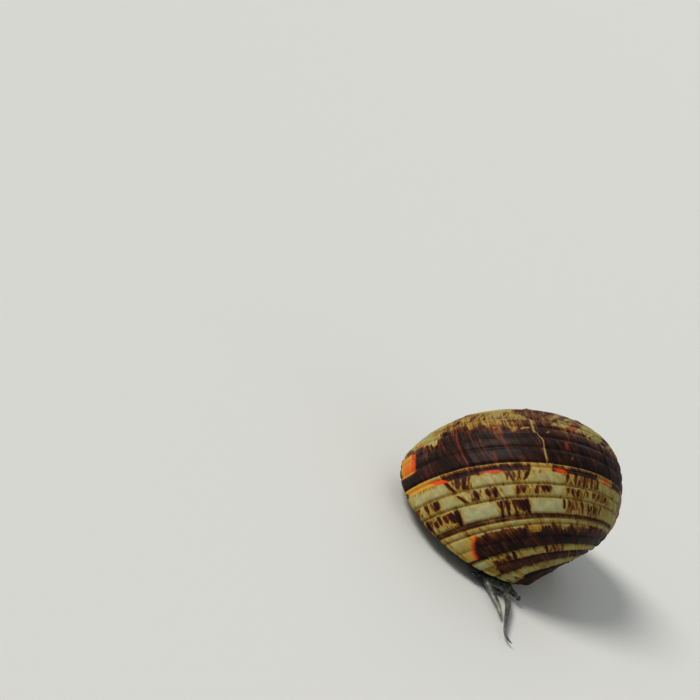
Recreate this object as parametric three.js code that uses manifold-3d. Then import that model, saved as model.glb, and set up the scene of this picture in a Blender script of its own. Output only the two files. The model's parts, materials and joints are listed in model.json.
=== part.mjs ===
// Nerite snail, life size: the shell is 30 mm across and the foot rests on z = 0.
// Millimetres, +Z up. The snail faces -Y, so its right-hand side is at -X.
import * as THREE from 'three';
import { mergeVertices } from 'three/addons/utils/BufferGeometryUtils.js';
import Module from 'manifold-3d';

const wasm = await Module();
wasm.setup();

const rad = THREE.MathUtils.degToRad;
const fullTurn = 2 * Math.PI;
const gap = 0.3; // between pieces that touch

// The shell's own frame: aperture plane at z = 0, apex towards +Y, outer lip on the -X side.
const shell = {
  growth: 3.85, // size gained by one whorl
  axisTilt: rad(35.3), // of the coiling axis, up from the aperture plane
  apex: new THREE.Vector3(1.9, 11.0, 10.9),
  lipCentre: -6.3,
  lipReach: 11.7,
  lipBack: 14.0,
  lipFront: 14.1,
  squareBack: 0.87,
  squareFront: 0.98,
  lipRise: 5.1, // of the lip towards the suture
  sutureAngle: rad(64.4), // where the whorl before is met
  shoulderAngle: rad(45), // from here the lip bends over to the suture
  shoulderPull: 6.0,
  suturePull: [-2.46, 3.28], // sideways, and along the axis
  lipEnd: rad(205),
  rows: 44, // rings to a turn
  spireRows: 20,
  core: new THREE.Vector3(3.4, -5.0, 0), // just past the coiling axis
  slimCore: new THREE.Vector3(2.0, -4.4, 0), // on the axis
};
// Degrees along the lip of the grooves that part the ribs. Two ribs are narrow cords.
const grooves = [
  8, 18, 28, 38.5, 49, 60, 71, 81.5, 91.8, 95.6, 108.7, 118.9, 131.9, 135.1, 139.6, 149.6,
  159.7, 167.8, 177.6, 188.6, 198,
];
const rib = { height: 0.3, side: 1.7 }; // side: how wide its flanks are, in degrees
// width and cut run along the growth, as turns of the coil
const rim = {
  wall: 2.2, width: 0.11, cut: 0.035, back: rad(24), front: rad(200), outside: 1.5, inside: 0.6,
};
const deck = {
  x: 1.0, y: 0.2, across: 7.4, along: 9.2, inset: 1.7, thick: 1.3,
  edge: -4.6, edgeMiddle: -1.5, edgeCurve: 0.012, // its free edge bows towards the opening
  teeth: 4, tooth: 0.75, toothPitch: 1.9, toothIn: 0.15,
};
// levels: height, as a share of the rise, and how far the side has drawn in there.
// The front right is cut off flat, at cut from the middle, leaning out by lean as it rises.
// It runs from sideTo to sideFrom, and along the back below the lip from lipFrom, no further
// back than back. inner: two points inside the shell that close the outline.
const base = {
  x: -1.0, y: -0.8, across: 11.4, along: 12.2, rise: 8, cut: 7.3, lean: 0.5,
  levels: [[0, 0.6], [0.1, 0.1], [0.3, 0.2], [0.55, 1.2], [1, 4.5]],
  lipFrom: rad(26), sideFrom: rad(74), sideTo: rad(-90), back: 12, under: 0.25,
  inner: [[-6, -8], [-10, 2]],
};
const column = { radius: 2.64, length: 24, below: 1.2 }; // its tip lies this far below the apex
const spireCut = { past: 0.2, wide: 1.6 }; // how far the room for the spire reaches
const cavity = { back: rad(36), front: rad(196), depth: 0.5 };
const neck = { inset: 1.5, depth: 0.4, behindShelf: 1.2, short: rad(12) };
const mantle = { thick: 0.8, from: -0.2, to: -0.04, back: rad(60), front: rad(190) };
// layers of the foot: height, and how far its side has drawn in there
const foot = {
  x: -4.5, y: -0.6, across: 18.0, along: 22.4, thick: 1.7, square: 0.92,
  layers: [[0, 0.35], [0.12, 0], [0.55, 0.35], [1.7, 0.9]],
};
// The head slopes down over the length slope to pass under the lip at lipLine.
const head = {
  x: -2.4, back: -8.6, front: -15.7, width: 5.6, taper: 0.2, square: 0.8,
  height: 4.2, snout: 1.7, low: 0.25, lipLine: -13.0, slope: 2.6, noseFrom: 0.7, noseRound: 0.93,
};
const snailMouth = { wide: 1.7, high: 0.3, deep: 0.5, z: 0.62 };
// Each feeler starts on the head and runs on through the points listed for its side.
const tentacle = {
  spread: 1.45, behind: 0.75, rise: 0.95, root: 1.05, tip: 0.36, sides: 8, rows: 7,
  joints: [0, 0.3, 0.62, 1],
  left: [
    [-0.65, -18.2, 0.95], [-0.95, -21.8, 0.9], [-1.2, -25.2, 0.75], [-0.9, -26.6, 0.7],
    [0, -27.3, 0.65],
  ],
  right: [[-3.1, -17.4, 0.95], [-2.15, -20.0, 0.85], [-1.8, -22.4, 0.7]],
};
const eye = {
  radius: 0.36, root: 0.55, end: 0.374, reach: 1.45, out: 1.9, y: -14.2, z: 0.95, turn: rad(38),
};
const operculum = {
  x: -10.2, y: 7.6, z: 1.0, across: 6.6, along: 8.2, thick: 0.8, tilt: rad(10),
  straight: 1.85, bevelBelow: 0.3, bevelAbove: 0.5, // straight: its straight edge, from the middle
};
// The shell stands on the foot, its spire turned back to the snail's right.
const stance = { turn: rad(14), lift: 2.0 };
const middle = { x: 3.44, y: 6.82 }; // brings the middle of the whole over the origin

const axis = new THREE.Vector3(0, Math.cos(shell.axisTilt), Math.sin(shell.axisTilt));
const growthRate = Math.log(shell.growth) / fullTurn;

const signedPower = (value, power) => Math.sign(value) * Math.abs(value) ** power;

function openLip(angle) {
  const back = angle < Math.PI / 2;
  const power = back ? shell.squareBack : shell.squareFront;
  const length = back ? shell.lipBack : shell.lipFront;
  const climb = THREE.MathUtils.clamp(1 - angle / (Math.PI / 2), 0, 2);
  return new THREE.Vector3(
    shell.lipCentre - shell.lipReach * signedPower(Math.sin(angle), power),
    length * signedPower(Math.cos(angle), power),
    shell.lipRise * climb ** 2,
  );
}

// The lip bends over from the shoulder and comes down on the whorl before it.
const shoulderStart = openLip(shell.shoulderAngle);
const shoulderWay = openLip(shell.shoulderAngle - 0.01).sub(shoulderStart).normalize();
const sutureEnd = openLip(shell.sutureAngle).sub(shell.apex)
  .divideScalar(shell.growth).add(shell.apex);
const shoulderCurve = new THREE.CubicBezierCurve3(
  shoulderStart,
  shoulderStart.clone().addScaledVector(shoulderWay, shell.shoulderPull),
  sutureEnd.clone().addScaledVector(axis, shell.suturePull[1])
    .add(new THREE.Vector3(shell.suturePull[0], 0, 0)),
  sutureEnd,
);

function lipPoint(angle) {
  if (angle >= shell.shoulderAngle) return openLip(angle);
  return shoulderCurve.getPoint(1 - angle / shell.shoulderAngle);
}

// Outward across the lip, at right angles to it and to the coiling direction.
function lipOutward(angle) {
  const along = lipPoint(angle + 0.01).sub(lipPoint(Math.max(angle - 0.01, 0)));
  const fromApex = lipPoint(angle).sub(shell.apex);
  const coil = fromApex.clone().multiplyScalar(growthRate)
    .sub(new THREE.Vector3().crossVectors(axis, fromApex));
  return coil.cross(along).normalize();
}

function ribColumns() {
  const columns = [{ angle: 0, lift: 0 }];
  grooves.forEach((groove, i) => {
    const before = i ? grooves[i - 1] : 0;
    const side = Math.min(rib.side, (groove - before) / 3);
    columns.push({ angle: rad(before + side), lift: rib.height });
    columns.push({ angle: rad(groove - side), lift: rib.height });
    columns.push({ angle: rad(groove), lift: 0 });
  });
  columns.push({ angle: shell.lipEnd, lift: rib.height / 2 });
  return columns;
}

// A point of the lip as it stood at an earlier stage of growth, given as a turn of the coil.
function grown(point, turn) {
  return point.clone().sub(shell.apex).applyAxisAngle(axis, -turn)
    .multiplyScalar(Math.exp(growthRate * turn)).add(shell.apex);
}

// A closed body through rings of points. Its ends are fans, or strips where the ring is a
// band folded back on itself.
function closedSweep(rows, ends = 'fan') {
  const size = rows[0].length;
  const points = rows.flat();
  const triangles = [];
  for (let i = 0; i < rows.length - 1; i++) {
    for (let j = 0; j < size; j++) {
      const k = (j + 1) % size;
      const [a, b, c, d] = [i * size + j, i * size + k, (i + 1) * size + k, (i + 1) * size + j];
      triangles.push(a, b, c, a, c, d);
    }
  }
  for (const [row, flip] of [[0, true], [rows.length - 1, false]]) {
    const start = row * size;
    const face = (a, b, c) => triangles.push(...(flip ? [c, b, a] : [a, b, c]));
    if (ends === 'strip') {
      for (let j = 0; j < size / 2 - 1; j++) {
        const [a, b, c, d] = [j, j + 1, size - 2 - j, size - 1 - j].map((n) => start + n);
        face(a, b, c);
        face(a, c, d);
      }
    } else {
      const centre = new THREE.Vector3();
      rows[row].forEach((point) => centre.addScaledVector(point, 1 / size));
      points.push(centre);
      for (let j = 0; j < size; j++) face(points.length - 1, start + j, start + ((j + 1) % size));
    }
  }
  return solid(points, triangles);
}

function solid(points, triangles) {
  const volume = () => {
    let sum = 0;
    for (let i = 0; i < triangles.length; i += 3) {
      const [a, b, c] = [0, 1, 2].map((k) => points[triangles[i + k]]);
      sum += a.dot(new THREE.Vector3().crossVectors(b, c));
    }
    return sum;
  };
  if (volume() < 0) triangles.reverse();
  return new wasm.Manifold(new wasm.Mesh({
    numProp: 3,
    vertProperties: new Float32Array(points.flatMap((point) => point.toArray())),
    triVerts: new Uint32Array(triangles),
  }));
}

const join = (solids) => solids.reduce((all, piece) => all.add(piece));

// Fills what fusing sealed inside and drops loose scraps.
function largest(piece) {
  return piece.decompose().reduce((best, part) => (part.volume() > best.volume() ? part : best));
}

// Whorls between two stages of growth, in stretches that don't cross themselves.
function whorls(from, to, rowsPerTurn, outline, ends) {
  const stretches = Math.ceil((to - from) / (fullTurn / 4) - 1e-6);
  const rows = Math.max(1, Math.round(((to - from) / stretches / fullTurn) * rowsPerTurn));
  const solids = [];
  for (let i = 0; i < stretches; i++) {
    const rings = [];
    for (let j = 0; j <= rows; j++) {
      const turn = from + ((i + j / rows) / stretches) * (to - from);
      rings.push(outline.map((point) => grown(point, turn)));
    }
    solids.push(closedSweep(rings, ends));
  }
  return join(solids);
}

const awayFromLip = (angle, distance) => (
  lipPoint(angle).addScaledVector(lipOutward(angle), distance)
);

function lipOutline(columns, core, extra = 0) {
  const outline = columns.map(({ angle, lift }) => awayFromLip(angle, lift + extra));
  outline.push(core.clone());
  return outline;
}

const spaced = (from, to, count) => (
  Array.from({ length: count + 1 }, (_, i) => from + ((to - from) * i) / count)
);

// A plain geometry as a solid, with its shared points merged.
function fromGeometry(geometry) {
  geometry.deleteAttribute('normal');
  geometry.deleteAttribute('uv');
  const merged = mergeVertices(geometry, 1e-4);
  return new wasm.Manifold(new wasm.Mesh({
    numProp: 3,
    vertProperties: new Float32Array(merged.attributes.position.array),
    triVerts: new Uint32Array(merged.index.array),
  }));
}

function block(from, to) {
  const size = to.clone().sub(from);
  const centre = from.clone().add(to).divideScalar(2);
  return fromGeometry(new THREE.BoxGeometry(...size.toArray()).translate(...centre.toArray()));
}

// The pillar inside the coil, which closes it round its axis.
const pillar = fromGeometry(
  new THREE.ConeGeometry(column.radius, column.length, 12)
    .translate(0, -column.length / 2 - column.below, 0)
    .applyQuaternion(new THREE.Quaternion().setFromUnitVectors(new THREE.Vector3(0, 1, 0), axis))
    .translate(...shell.apex.toArray()),
);
const below = block(new THREE.Vector3(-40, -40, -20), new THREE.Vector3(40, 40, 0));

// The base closes the coil's underside, from the lip's end round the right to the suture.
const frontRight = new THREE.Vector3(1, -1, 0).normalize();
function baseFill() {
  return closedSweep(base.levels.map(([height, inset]) => {
    const ring = [];
    for (const angle of spaced(base.lipFrom, 0, 6)) {
      const edge = awayFromLip(angle, -base.under);
      ring.push(new THREE.Vector3(edge.x, Math.min(edge.y, base.back), 0).lerp(edge, height));
    }
    for (const angle of spaced(base.sideFrom, base.sideTo, 13)) {
      const point = new THREE.Vector3(
        base.x + (base.across - inset) * Math.cos(angle),
        base.y + (base.along - inset) * Math.sin(angle),
        base.rise * height,
      );
      const past = point.dot(frontRight) - base.cut + 0.5 * inset - base.lean * point.z;
      ring.push(point.addScaledVector(frontRight, -Math.max(past, 0)));
    }
    return ring.concat(base.inner.map(([x, y]) => (
      new THREE.Vector3(x, y, base.rise * height)
    )));
  }));
}

const edgeBulge = (y) => deck.edge - deck.edgeCurve * (y - deck.edgeMiddle) ** 2;
function cavityOutline(inset, shift = 0, short = 0) {
  const outline = spaced(cavity.back + short, cavity.front - short, 16)
    .map((angle) => awayFromLip(angle, -inset));
  const [back, front] = [outline[0].y, outline[outline.length - 1].y];
  for (const y of spaced(front + 0.8, back - 0.8, 5)) {
    outline.push(new THREE.Vector3(edgeBulge(y) - shift, y, 0));
  }
  return outline;
}

const plainColumns = [...spaced(0, rad(84), 8), ...spaced(rad(96), shell.lipEnd, 6)]
  .map((angle) => ({ angle, lift: 0 }));
const spireColumns = ribColumns().filter(({ angle }, i) => angle < rad(84) && i % 3 !== 2)
  .concat(plainColumns.filter(({ angle }) => angle > rad(90)));

const spire = largest(whorls(-3 * fullTurn, -fullTurn, shell.spireRows,
  lipOutline(spireColumns, shell.slimCore)));
const spireRoom = largest(whorls(-2 * fullTurn, -fullTurn + spireCut.past, shell.spireRows,
  lipOutline(plainColumns, shell.core, rib.height + spireCut.wide * gap * shell.growth)));
const cavityCut = whorls(-cavity.depth, 0.03, shell.rows, cavityOutline(rim.wall));
const shellSolid = whorls(-fullTurn, 0, shell.rows, lipOutline(ribColumns(), shell.core))
  .add(pillar).add(baseFill()).subtract(below).subtract(cavityCut).subtract(spireRoom);

// The outer lip is a band cut off along the growing edge.
function lipBand(from, to, margin, inner) {
  const angles = spaced(rim.back - margin, rim.front + margin, 24);
  const ring = [
    ...angles.map((angle) => awayFromLip(angle, rim.outside)),
    ...angles.reverse().map((angle) => awayFromLip(angle, -rim.wall - rim.inside - inner)),
  ];
  return whorls(from, to, shell.rows, ring, 'strip');
}

// The deck is the inner lip: a smooth shelf across the base, with teeth on its free edge.
function deckPlate(margin) {
  const ring = (z) => spaced(0, fullTurn, 28).slice(0, -1).map((angle) => {
    const x = deck.x + (deck.across + margin) * Math.cos(angle);
    const y = deck.y + (deck.along + margin) * Math.sin(angle);
    const point = new THREE.Vector3(x, y, 0);
    const past = point.dot(frontRight) - (base.cut - deck.inset + margin);
    point.addScaledVector(frontRight, -Math.max(past, 0));
    return new THREE.Vector3(Math.max(point.x, edgeBulge(point.y) - margin), point.y, z);
  });
  return closedSweep([ring(margin ? -1 : 0), ring(deck.thick + margin)]);
}
function deckTooth(i) {
  const y = deck.y + (i - (deck.teeth - 1) / 2) * deck.toothPitch;
  return fromGeometry(new THREE.SphereGeometry(deck.tooth, 8, 6)
    .scale(1, 0.8, 0.8).translate(edgeBulge(y) + deck.toothIn, y, deck.thick / 2));
}
const teeth = join(Array.from({ length: deck.teeth }, (_, i) => deckTooth(i)));

// Soft parts that fill the aperture, in the shell's own frame.
const toShell = (point) => point.clone().sub(new THREE.Vector3(0, 0, stance.lift))
  .applyAxisAngle(new THREE.Vector3(0, 0, 1), -stance.turn);

// The head narrows forward to a low round snout, and clears the foot's front edge.
function headRings(margin) {
  const stations = [...spaced(0, 0.8, 6), 0.88, 0.94, 0.98, 1];
  const { smoothstep, lerp } = THREE.MathUtils;
  const footFront = foot.along / 2 - foot.y;
  return stations.map((t) => {
    const y = lerp(head.back, head.front, t);
    const under = smoothstep(-y, -head.lipLine - head.slope, -head.lipLine);
    const past = smoothstep(-y, footFront - 0.5, footFront + 0.4);
    const nose = Math.max(0, t - head.noseFrom) / (1 - head.noseFrom);
    const round = Math.sqrt(1 - (head.noseRound * nose) ** 2);
    const low = lerp(foot.thick + gap, head.low, past);
    const top = lerp(head.height, low + (head.snout - head.low) * round, under);
    const halfWidth = (head.width / 2) * (1 - head.taper * t) * round;
    return spaced(0, fullTurn, 16).slice(0, -1).map((angle) => new THREE.Vector3(
      head.x + (halfWidth + margin) * signedPower(Math.cos(angle), head.square),
      y + margin * (t === 0 ? 1 : t === 1 ? -1 : 0),
      (top + low) / 2 + ((top - low) / 2 + margin) * signedPower(Math.sin(angle), head.square),
    ));
  });
}
const mouthMiddle = new THREE.Vector3(head.x, head.front, snailMouth.z);
const mouthHalf = new THREE.Vector3(snailMouth.wide / 2, snailMouth.deep, snailMouth.high / 2);
const mouthSlit = block(mouthMiddle.clone().sub(mouthHalf), mouthMiddle.clone().add(mouthHalf));
const headSolid = largest(closedSweep(headRings(0)).subtract(mouthSlit));
const aroundHead = closedSweep(headRings(gap));
const headRoom = closedSweep(headRings(gap).map((ring) => ring.map(toShell)));

function footSolid() {
  return closedSweep(foot.layers.map(([z, inset]) => (
    spaced(0, fullTurn, 36).slice(0, -1).map((angle) => new THREE.Vector3(
      foot.x + (foot.across / 2 - inset) * signedPower(Math.cos(angle), foot.square),
      foot.y + (foot.along / 2 - inset) * signedPower(Math.sin(angle), foot.square),
      z,
    ))
  )));
}

function mantleRing() {
  const angles = spaced(mantle.back, mantle.front, 20);
  const ring = [
    ...angles.map((angle) => awayFromLip(angle, -rim.wall - gap)),
    ...angles.reverse().map((angle) => awayFromLip(angle, -rim.wall - gap - mantle.thick)),
  ];
  return whorls(mantle.from, mantle.to, shell.rows, ring, 'strip');
}

function operculumPlate(margin) {
  const ring = (z, grow) => spaced(0, fullTurn, 20).slice(0, -1).map((angle) => {
    const x = (operculum.across / 2 + margin + grow) * Math.cos(angle);
    return new THREE.Vector3(
      Math.min(x, operculum.straight + margin),
      (operculum.along / 2 + margin + grow) * Math.sin(angle),
      z,
    );
  });
  const rings = [
    ring(-margin, -operculum.bevelBelow),
    ring(operculum.thick / 2, 0),
    ring(operculum.thick + margin, -operculum.bevelAbove),
  ];
  const place = new THREE.Matrix4().makeRotationFromEuler(new THREE.Euler(operculum.tilt, 0, 0))
    .setPosition(operculum.x, operculum.y, operculum.z);
  return closedSweep(rings.map((points) => points.map((point) => point.applyMatrix4(place))));
}

const opercularRoom = operculumPlate(gap);
const outerLip = largest(shellSolid.intersect(lipBand(-rim.width, 0.08, 0, 0))
  .subtract(headRoom).subtract(opercularRoom));
const bodyWhorl = largest(shellSolid
  .subtract(lipBand(-rim.width - rim.cut, 0.12, rad(1.3), gap)).subtract(deckPlate(1.3 * gap))
  .subtract(headRoom).subtract(opercularRoom));
const deckSolid = largest(deckPlate(0).add(teeth).subtract(below));

const neckOutline = cavityOutline(rim.wall + neck.inset, neck.behindShelf, neck.short);
const neckSolid = largest(whorls(-neck.depth, -0.02, shell.rows, neckOutline)
  .subtract(below).subtract(headRoom).subtract(operculumPlate(2.5 * gap)));
const mantleSolid = largest(mantleRing().subtract(below).subtract(headRoom)
  .subtract(opercularRoom));

// Feelers: a tapered tube from the side of the head, under the lip and forward.
function feelerPath(side) {
  const root = new THREE.Vector3(
    head.x + side * tentacle.spread, head.front + tentacle.behind, tentacle.rise,
  );
  const bends = side > 0 ? tentacle.left : tentacle.right;
  return new THREE.CatmullRomCurve3([root, ...bends.map((bend) => new THREE.Vector3(...bend))]);
}
function taperedTube(path, from, to, radius) {
  const rings = spaced(from, to, tentacle.rows).map((t) => {
    const along = path.getTangentAt(t);
    const side = new THREE.Vector3(0, 0, 1).cross(along).normalize();
    const up = along.clone().cross(side);
    return spaced(0, fullTurn, tentacle.sides).slice(0, -1).map((angle) => (
      path.getPointAt(t).addScaledVector(side, radius(t) * Math.cos(angle))
        .addScaledVector(up, radius(t) * Math.sin(angle))
    ));
  });
  return closedSweep(rings);
}
const feelerRadius = (t) => THREE.MathUtils.lerp(tentacle.root, tentacle.tip, t) / 2;

// Each eye sits at the end of a short stalk outside the feeler's root.
function eyeStalk(side) {
  const root = new THREE.Vector3(head.x + side * eye.out, eye.y, eye.z);
  const way = new THREE.Vector3(side * Math.cos(eye.turn), -Math.sin(eye.turn), 0);
  const tip = root.clone().addScaledVector(way, eye.reach);
  const path = new THREE.LineCurve3(root, tip);
  const stalk = taperedTube(path, 0, 1, (t) => THREE.MathUtils.lerp(eye.root, eye.end, t));
  const ball = new THREE.SphereGeometry(eye.radius, 10, 8)
    .translate(...tip.addScaledVector(way, gap / 2 + eye.radius).toArray());
  return { stalk, ball };
}

function toGeometry(piece) {
  const { vertProperties, triVerts } = piece.getMesh();
  const geometry = new THREE.BufferGeometry();
  geometry.setAttribute('position', new THREE.BufferAttribute(new Float32Array(vertProperties), 3));
  geometry.setIndex(new THREE.BufferAttribute(new Uint32Array(triVerts), 1));
  geometry.computeVertexNormals();
  return geometry;
}

const finish = {
  shell: { color: 0x6b4a2c, roughness: 0.4 },
  spire: { color: 0x4a3122, roughness: 0.45 },
  deck: { color: 0xd8d0ac, roughness: 0.25 },
  operculum: { color: 0x6f6a55, roughness: 0.6 },
  mantle: { color: 0x5d5f48, roughness: 0.45 },
  flesh: { color: 0x4a4d45, roughness: 0.4 },
  sole: { color: 0x77735f, roughness: 0.45 },
  eye: { color: 0x080808, roughness: 0.1 },
};

const snail = new THREE.Group();
snail.position.set(middle.x, middle.y, 0);
const shellGroup = new THREE.Group();
shellGroup.rotation.z = stance.turn;
shellGroup.position.z = stance.lift;
snail.add(shellGroup);
function add(group, name, piece, look) {
  const material = new THREE.MeshStandardMaterial({ ...look, metalness: 0 });
  const mesh = new THREE.Mesh(toGeometry(piece), material);
  mesh.name = name;
  group.add(mesh);
}
add(shellGroup, 'shell_body_whorl', bodyWhorl, finish.shell);
add(shellGroup, 'shell_spire', spire, finish.spire);
add(shellGroup, 'shell_outer_lip', outerLip, finish.shell);
add(shellGroup, 'columellar_deck', deckSolid, finish.deck);
add(shellGroup, 'mantle_edge', mantleSolid, finish.mantle);
add(shellGroup, 'neck', neckSolid, finish.flesh);
add(shellGroup, 'operculum', operculumPlate(0), finish.operculum);
add(snail, 'foot', footSolid(), finish.sole);
add(snail, 'head', headSolid, finish.flesh);
for (const [name, side] of [['left', 1], ['right', -1]]) {
  const path = feelerPath(side);
  const half = gap / 2 / path.getLength();
  for (let i = 0; i < 3; i++) {
    const from = tentacle.joints[i] + (i ? half : 0);
    const to = tentacle.joints[i + 1] - (i < 2 ? half : 0);
    const piece = taperedTube(path, from, to, feelerRadius).subtract(aroundHead);
    add(snail, `tentacle_${name}_${i + 1}`, largest(piece), finish.flesh);
  }
  const { stalk, ball } = eyeStalk(side);
  add(snail, `eye_stalk_${name}`, largest(stalk.subtract(aroundHead)), finish.flesh);
  add(snail, `eye_${name}`, fromGeometry(ball), finish.eye);
}

export default snail;
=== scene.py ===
# Nerite snail, dressed for the camera. Lengths below are in millimetres in the snail's own
# frame: it faces -Y, its right is at -X, and the sole rests on z = 0.
import bmesh
import bpy
import json
import math
import numpy as np
from mathutils import Vector, Matrix
from mathutils.kdtree import KDTree

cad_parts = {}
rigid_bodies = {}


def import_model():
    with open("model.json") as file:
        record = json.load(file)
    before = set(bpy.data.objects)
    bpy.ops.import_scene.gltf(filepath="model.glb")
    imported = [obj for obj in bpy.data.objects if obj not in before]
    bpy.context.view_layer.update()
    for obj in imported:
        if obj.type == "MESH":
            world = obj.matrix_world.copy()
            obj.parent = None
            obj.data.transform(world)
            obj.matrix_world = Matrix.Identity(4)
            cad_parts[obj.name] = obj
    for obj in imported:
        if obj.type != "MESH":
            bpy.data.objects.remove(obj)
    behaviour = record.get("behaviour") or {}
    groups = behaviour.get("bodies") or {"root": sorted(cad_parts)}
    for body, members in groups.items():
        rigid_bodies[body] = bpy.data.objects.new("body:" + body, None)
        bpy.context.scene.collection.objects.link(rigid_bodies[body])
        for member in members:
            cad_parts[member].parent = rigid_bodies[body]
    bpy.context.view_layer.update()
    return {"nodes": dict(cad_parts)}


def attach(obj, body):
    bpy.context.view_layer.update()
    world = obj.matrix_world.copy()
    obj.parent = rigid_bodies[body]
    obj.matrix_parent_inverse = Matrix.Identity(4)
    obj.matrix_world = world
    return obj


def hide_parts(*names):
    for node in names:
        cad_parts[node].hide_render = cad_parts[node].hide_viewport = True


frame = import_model()
millimetre = 0.001
print("frame loaded", len(frame["nodes"]), "nodes")

# Where the shell's own frame sits: its aperture plane is z = 0 there.
stance = {"turn": math.radians(14), "lift": 2.0, "middle": (3.44, 6.82)}

# The coiling of the shell. Angles along the lip run from the suture (0) over the back of the
# shell to the front end of the lip; turns run back from the lip, which is at 0.
coil = {
    "growth": 3.85,
    "axisTilt": math.radians(35.3),
    "apex": (1.9, 11.0, 10.9),
    "lipCentre": -6.3,
    "lipReach": 11.7,
    "lipBack": 14.0,
    "lipFront": 14.1,
    "squareBack": 0.87,
    "squareFront": 0.98,
    "lipRise": 5.1,
    "sutureAngle": 64.4,
    "shoulderAngle": 45.0,
    "shoulderPull": 6.0,
    "suturePull": 4.1,
    "lipEnd": 205.0,
    "core": (3.4, -5.0, 0.0),
    "slimCore": (2.0, -4.4, 0.0),
}
# Narrow grooves part the broad ribs: place along the lip, depth and half width in degrees
grooves = (
    (8, 0.20, 1.0), (18, 0.22, 1.0), (28, 0.22, 1.1), (38.5, 0.22, 1.1), (49, 0.2, 1.1), (60, 0.16, 1.2),
    (71, 0.10, 1.3), (81.5, 0.12, 1.2), (91.8, 0.24, 0.8), (95.6, 0.20, 0.9), (108.7, 0.26, 0.9),
    (118.9, 0.26, 0.9), (131.9, 0.28, 0.9), (135.1, 0.24, 0.7), (139.6, 0.22, 0.8), (149.6, 0.13, 1.2),
    (159.7, 0.26, 0.9), (167.8, 0.24, 1.0), (177.6, 0.24, 1.0), (188.6, 0.22, 1.0), (198, 0.2, 1.1),
)
relief = {"rib": 0.26, "crown": 0.1, "step": 0.9, "sink": 0.08, "swell": 0.07, "ripple": 0.03}
growthLines = {"perTurn": 230, "height": 0.05, "halts": (-0.62, -1.22, -1.93, -2.5, -3.3, -4.1, -5.0),
               "haltHeight": 0.09, "tallest": 1, "tallHeight": 0.16, "haltRise": 0.05, "haltFall": 0.012}

fullTurn = 2 * math.pi
coilAxis = np.array([0.0, math.cos(coil["axisTilt"]), math.sin(coil["axisTilt"])])
coilApex = np.array(coil["apex"])
growthRate = math.log(coil["growth"]) / fullTurn


# Small helpers for fields over the surface
def smoothstep(low, high, value):
    t = np.clip((value - low) / (high - low), 0, 1)
    return t * t * (3 - 2 * t)


def band(value, low, high, soft):
    return smoothstep(low - soft, low + soft, value) * (1 - smoothstep(high - soft, high + soft, value))


def latticeValue(ix, iy, seed):
    mixed = (ix * 374761393 + iy * 668265263 + seed * 144665) & 0x7FFFFFFF
    mixed = ((mixed ^ (mixed >> 13)) * 1274126177) & 0x7FFFFFFF
    return ((mixed ^ (mixed >> 16)) & 0xFFFF) / 32767.5 - 1


# Smooth noise from -1 to 1 over two coordinates
def noise(x, y, seed):
    x, y = np.broadcast_arrays(np.asarray(x, float), np.asarray(y, float))
    ix, iy = np.floor(x).astype(np.int64), np.floor(y).astype(np.int64)
    fx, fy = x - ix, y - iy
    fx, fy = fx * fx * (3 - 2 * fx), fy * fy * (3 - 2 * fy)
    near = latticeValue(ix, iy, seed) * (1 - fx) + latticeValue(ix + 1, iy, seed) * fx
    far = latticeValue(ix, iy + 1, seed) * (1 - fx) + latticeValue(ix + 1, iy + 1, seed) * fx
    return near * (1 - fy) + far * fy


# The lip's line and how it grew
def openLip(angle):
    angle = np.asarray(angle, float)
    back = angle < math.pi / 2
    power = np.where(back, coil["squareBack"], coil["squareFront"])
    length = np.where(back, coil["lipBack"], coil["lipFront"])
    sine, cosine = np.sin(angle), np.cos(angle)
    climb = np.clip(1 - angle / (math.pi / 2), 0, 2)
    return np.stack([
        coil["lipCentre"] - coil["lipReach"] * np.sign(sine) * np.abs(sine) ** power,
        length * np.sign(cosine) * np.abs(cosine) ** power,
        coil["lipRise"] * climb ** 2,
    ], -1)


def shoulderPoints():
    start = openLip(math.radians(coil["shoulderAngle"]))
    way = openLip(math.radians(coil["shoulderAngle"]) - 0.01) - start
    way /= np.linalg.norm(way)
    end = (openLip(math.radians(coil["sutureAngle"])) - coilApex) / coil["growth"] + coilApex
    bend = end + 0.8 * coil["suturePull"] * coilAxis + np.array([-0.6 * coil["suturePull"], 0, 0])
    return start, start + coil["shoulderPull"] * way, bend, end


def lipPoint(angle):
    shoulder = math.radians(coil["shoulderAngle"])
    t = np.clip(1 - angle / shoulder, 0, 1)[..., None]
    a, b, c, d = shoulderPoints()
    bent = (1 - t) ** 3 * a + 3 * t * (1 - t) ** 2 * b + 3 * t * t * (1 - t) * c + t ** 3 * d
    return np.where((angle < shoulder)[..., None], bent, openLip(np.maximum(angle, shoulder)))


def lipOutward(angle):
    along = lipPoint(angle + 0.01) - lipPoint(np.maximum(angle - 0.01, 0))
    fromApex = lipPoint(angle) - coilApex
    way = np.cross(growthRate * fromApex - np.cross(coilAxis, fromApex), along)
    return way / np.linalg.norm(way, axis=-1, keepdims=True)


def grown(points, turn):
    fromApex = points - coilApex
    angle = -turn[..., None]
    along = (fromApex @ coilAxis)[..., None] * coilAxis
    turned = (fromApex - along) * np.cos(angle) + np.cross(coilAxis, fromApex) * np.sin(angle) + along
    return turned * np.exp(growthRate * turn)[..., None] + coilApex


# How deep the grooves lie at an angle, from 0 on a rib
def grooveDepth(angle):
    depth = np.zeros(np.shape(angle))
    for middle, deep, width in grooves:
        depth = np.maximum(depth, deep * np.exp(-np.abs((angle - middle) / width) ** 1.6))
    return depth


# Each rib is a little crowned between its grooves
def ribCrown(angle):
    places = np.array([0.0] + [groove[0] for groove in grooves] + [coil["lipEnd"]])
    index = np.clip(np.searchsorted(places, angle) - 1, 0, len(places) - 2)
    low, high = places[index], places[index + 1]
    across = np.clip((angle - low) / (high - low), 0, 1)
    return np.clip((high - low) / 10, 0.4, 1) * np.sin(np.pi * across) ** 0.7


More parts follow.
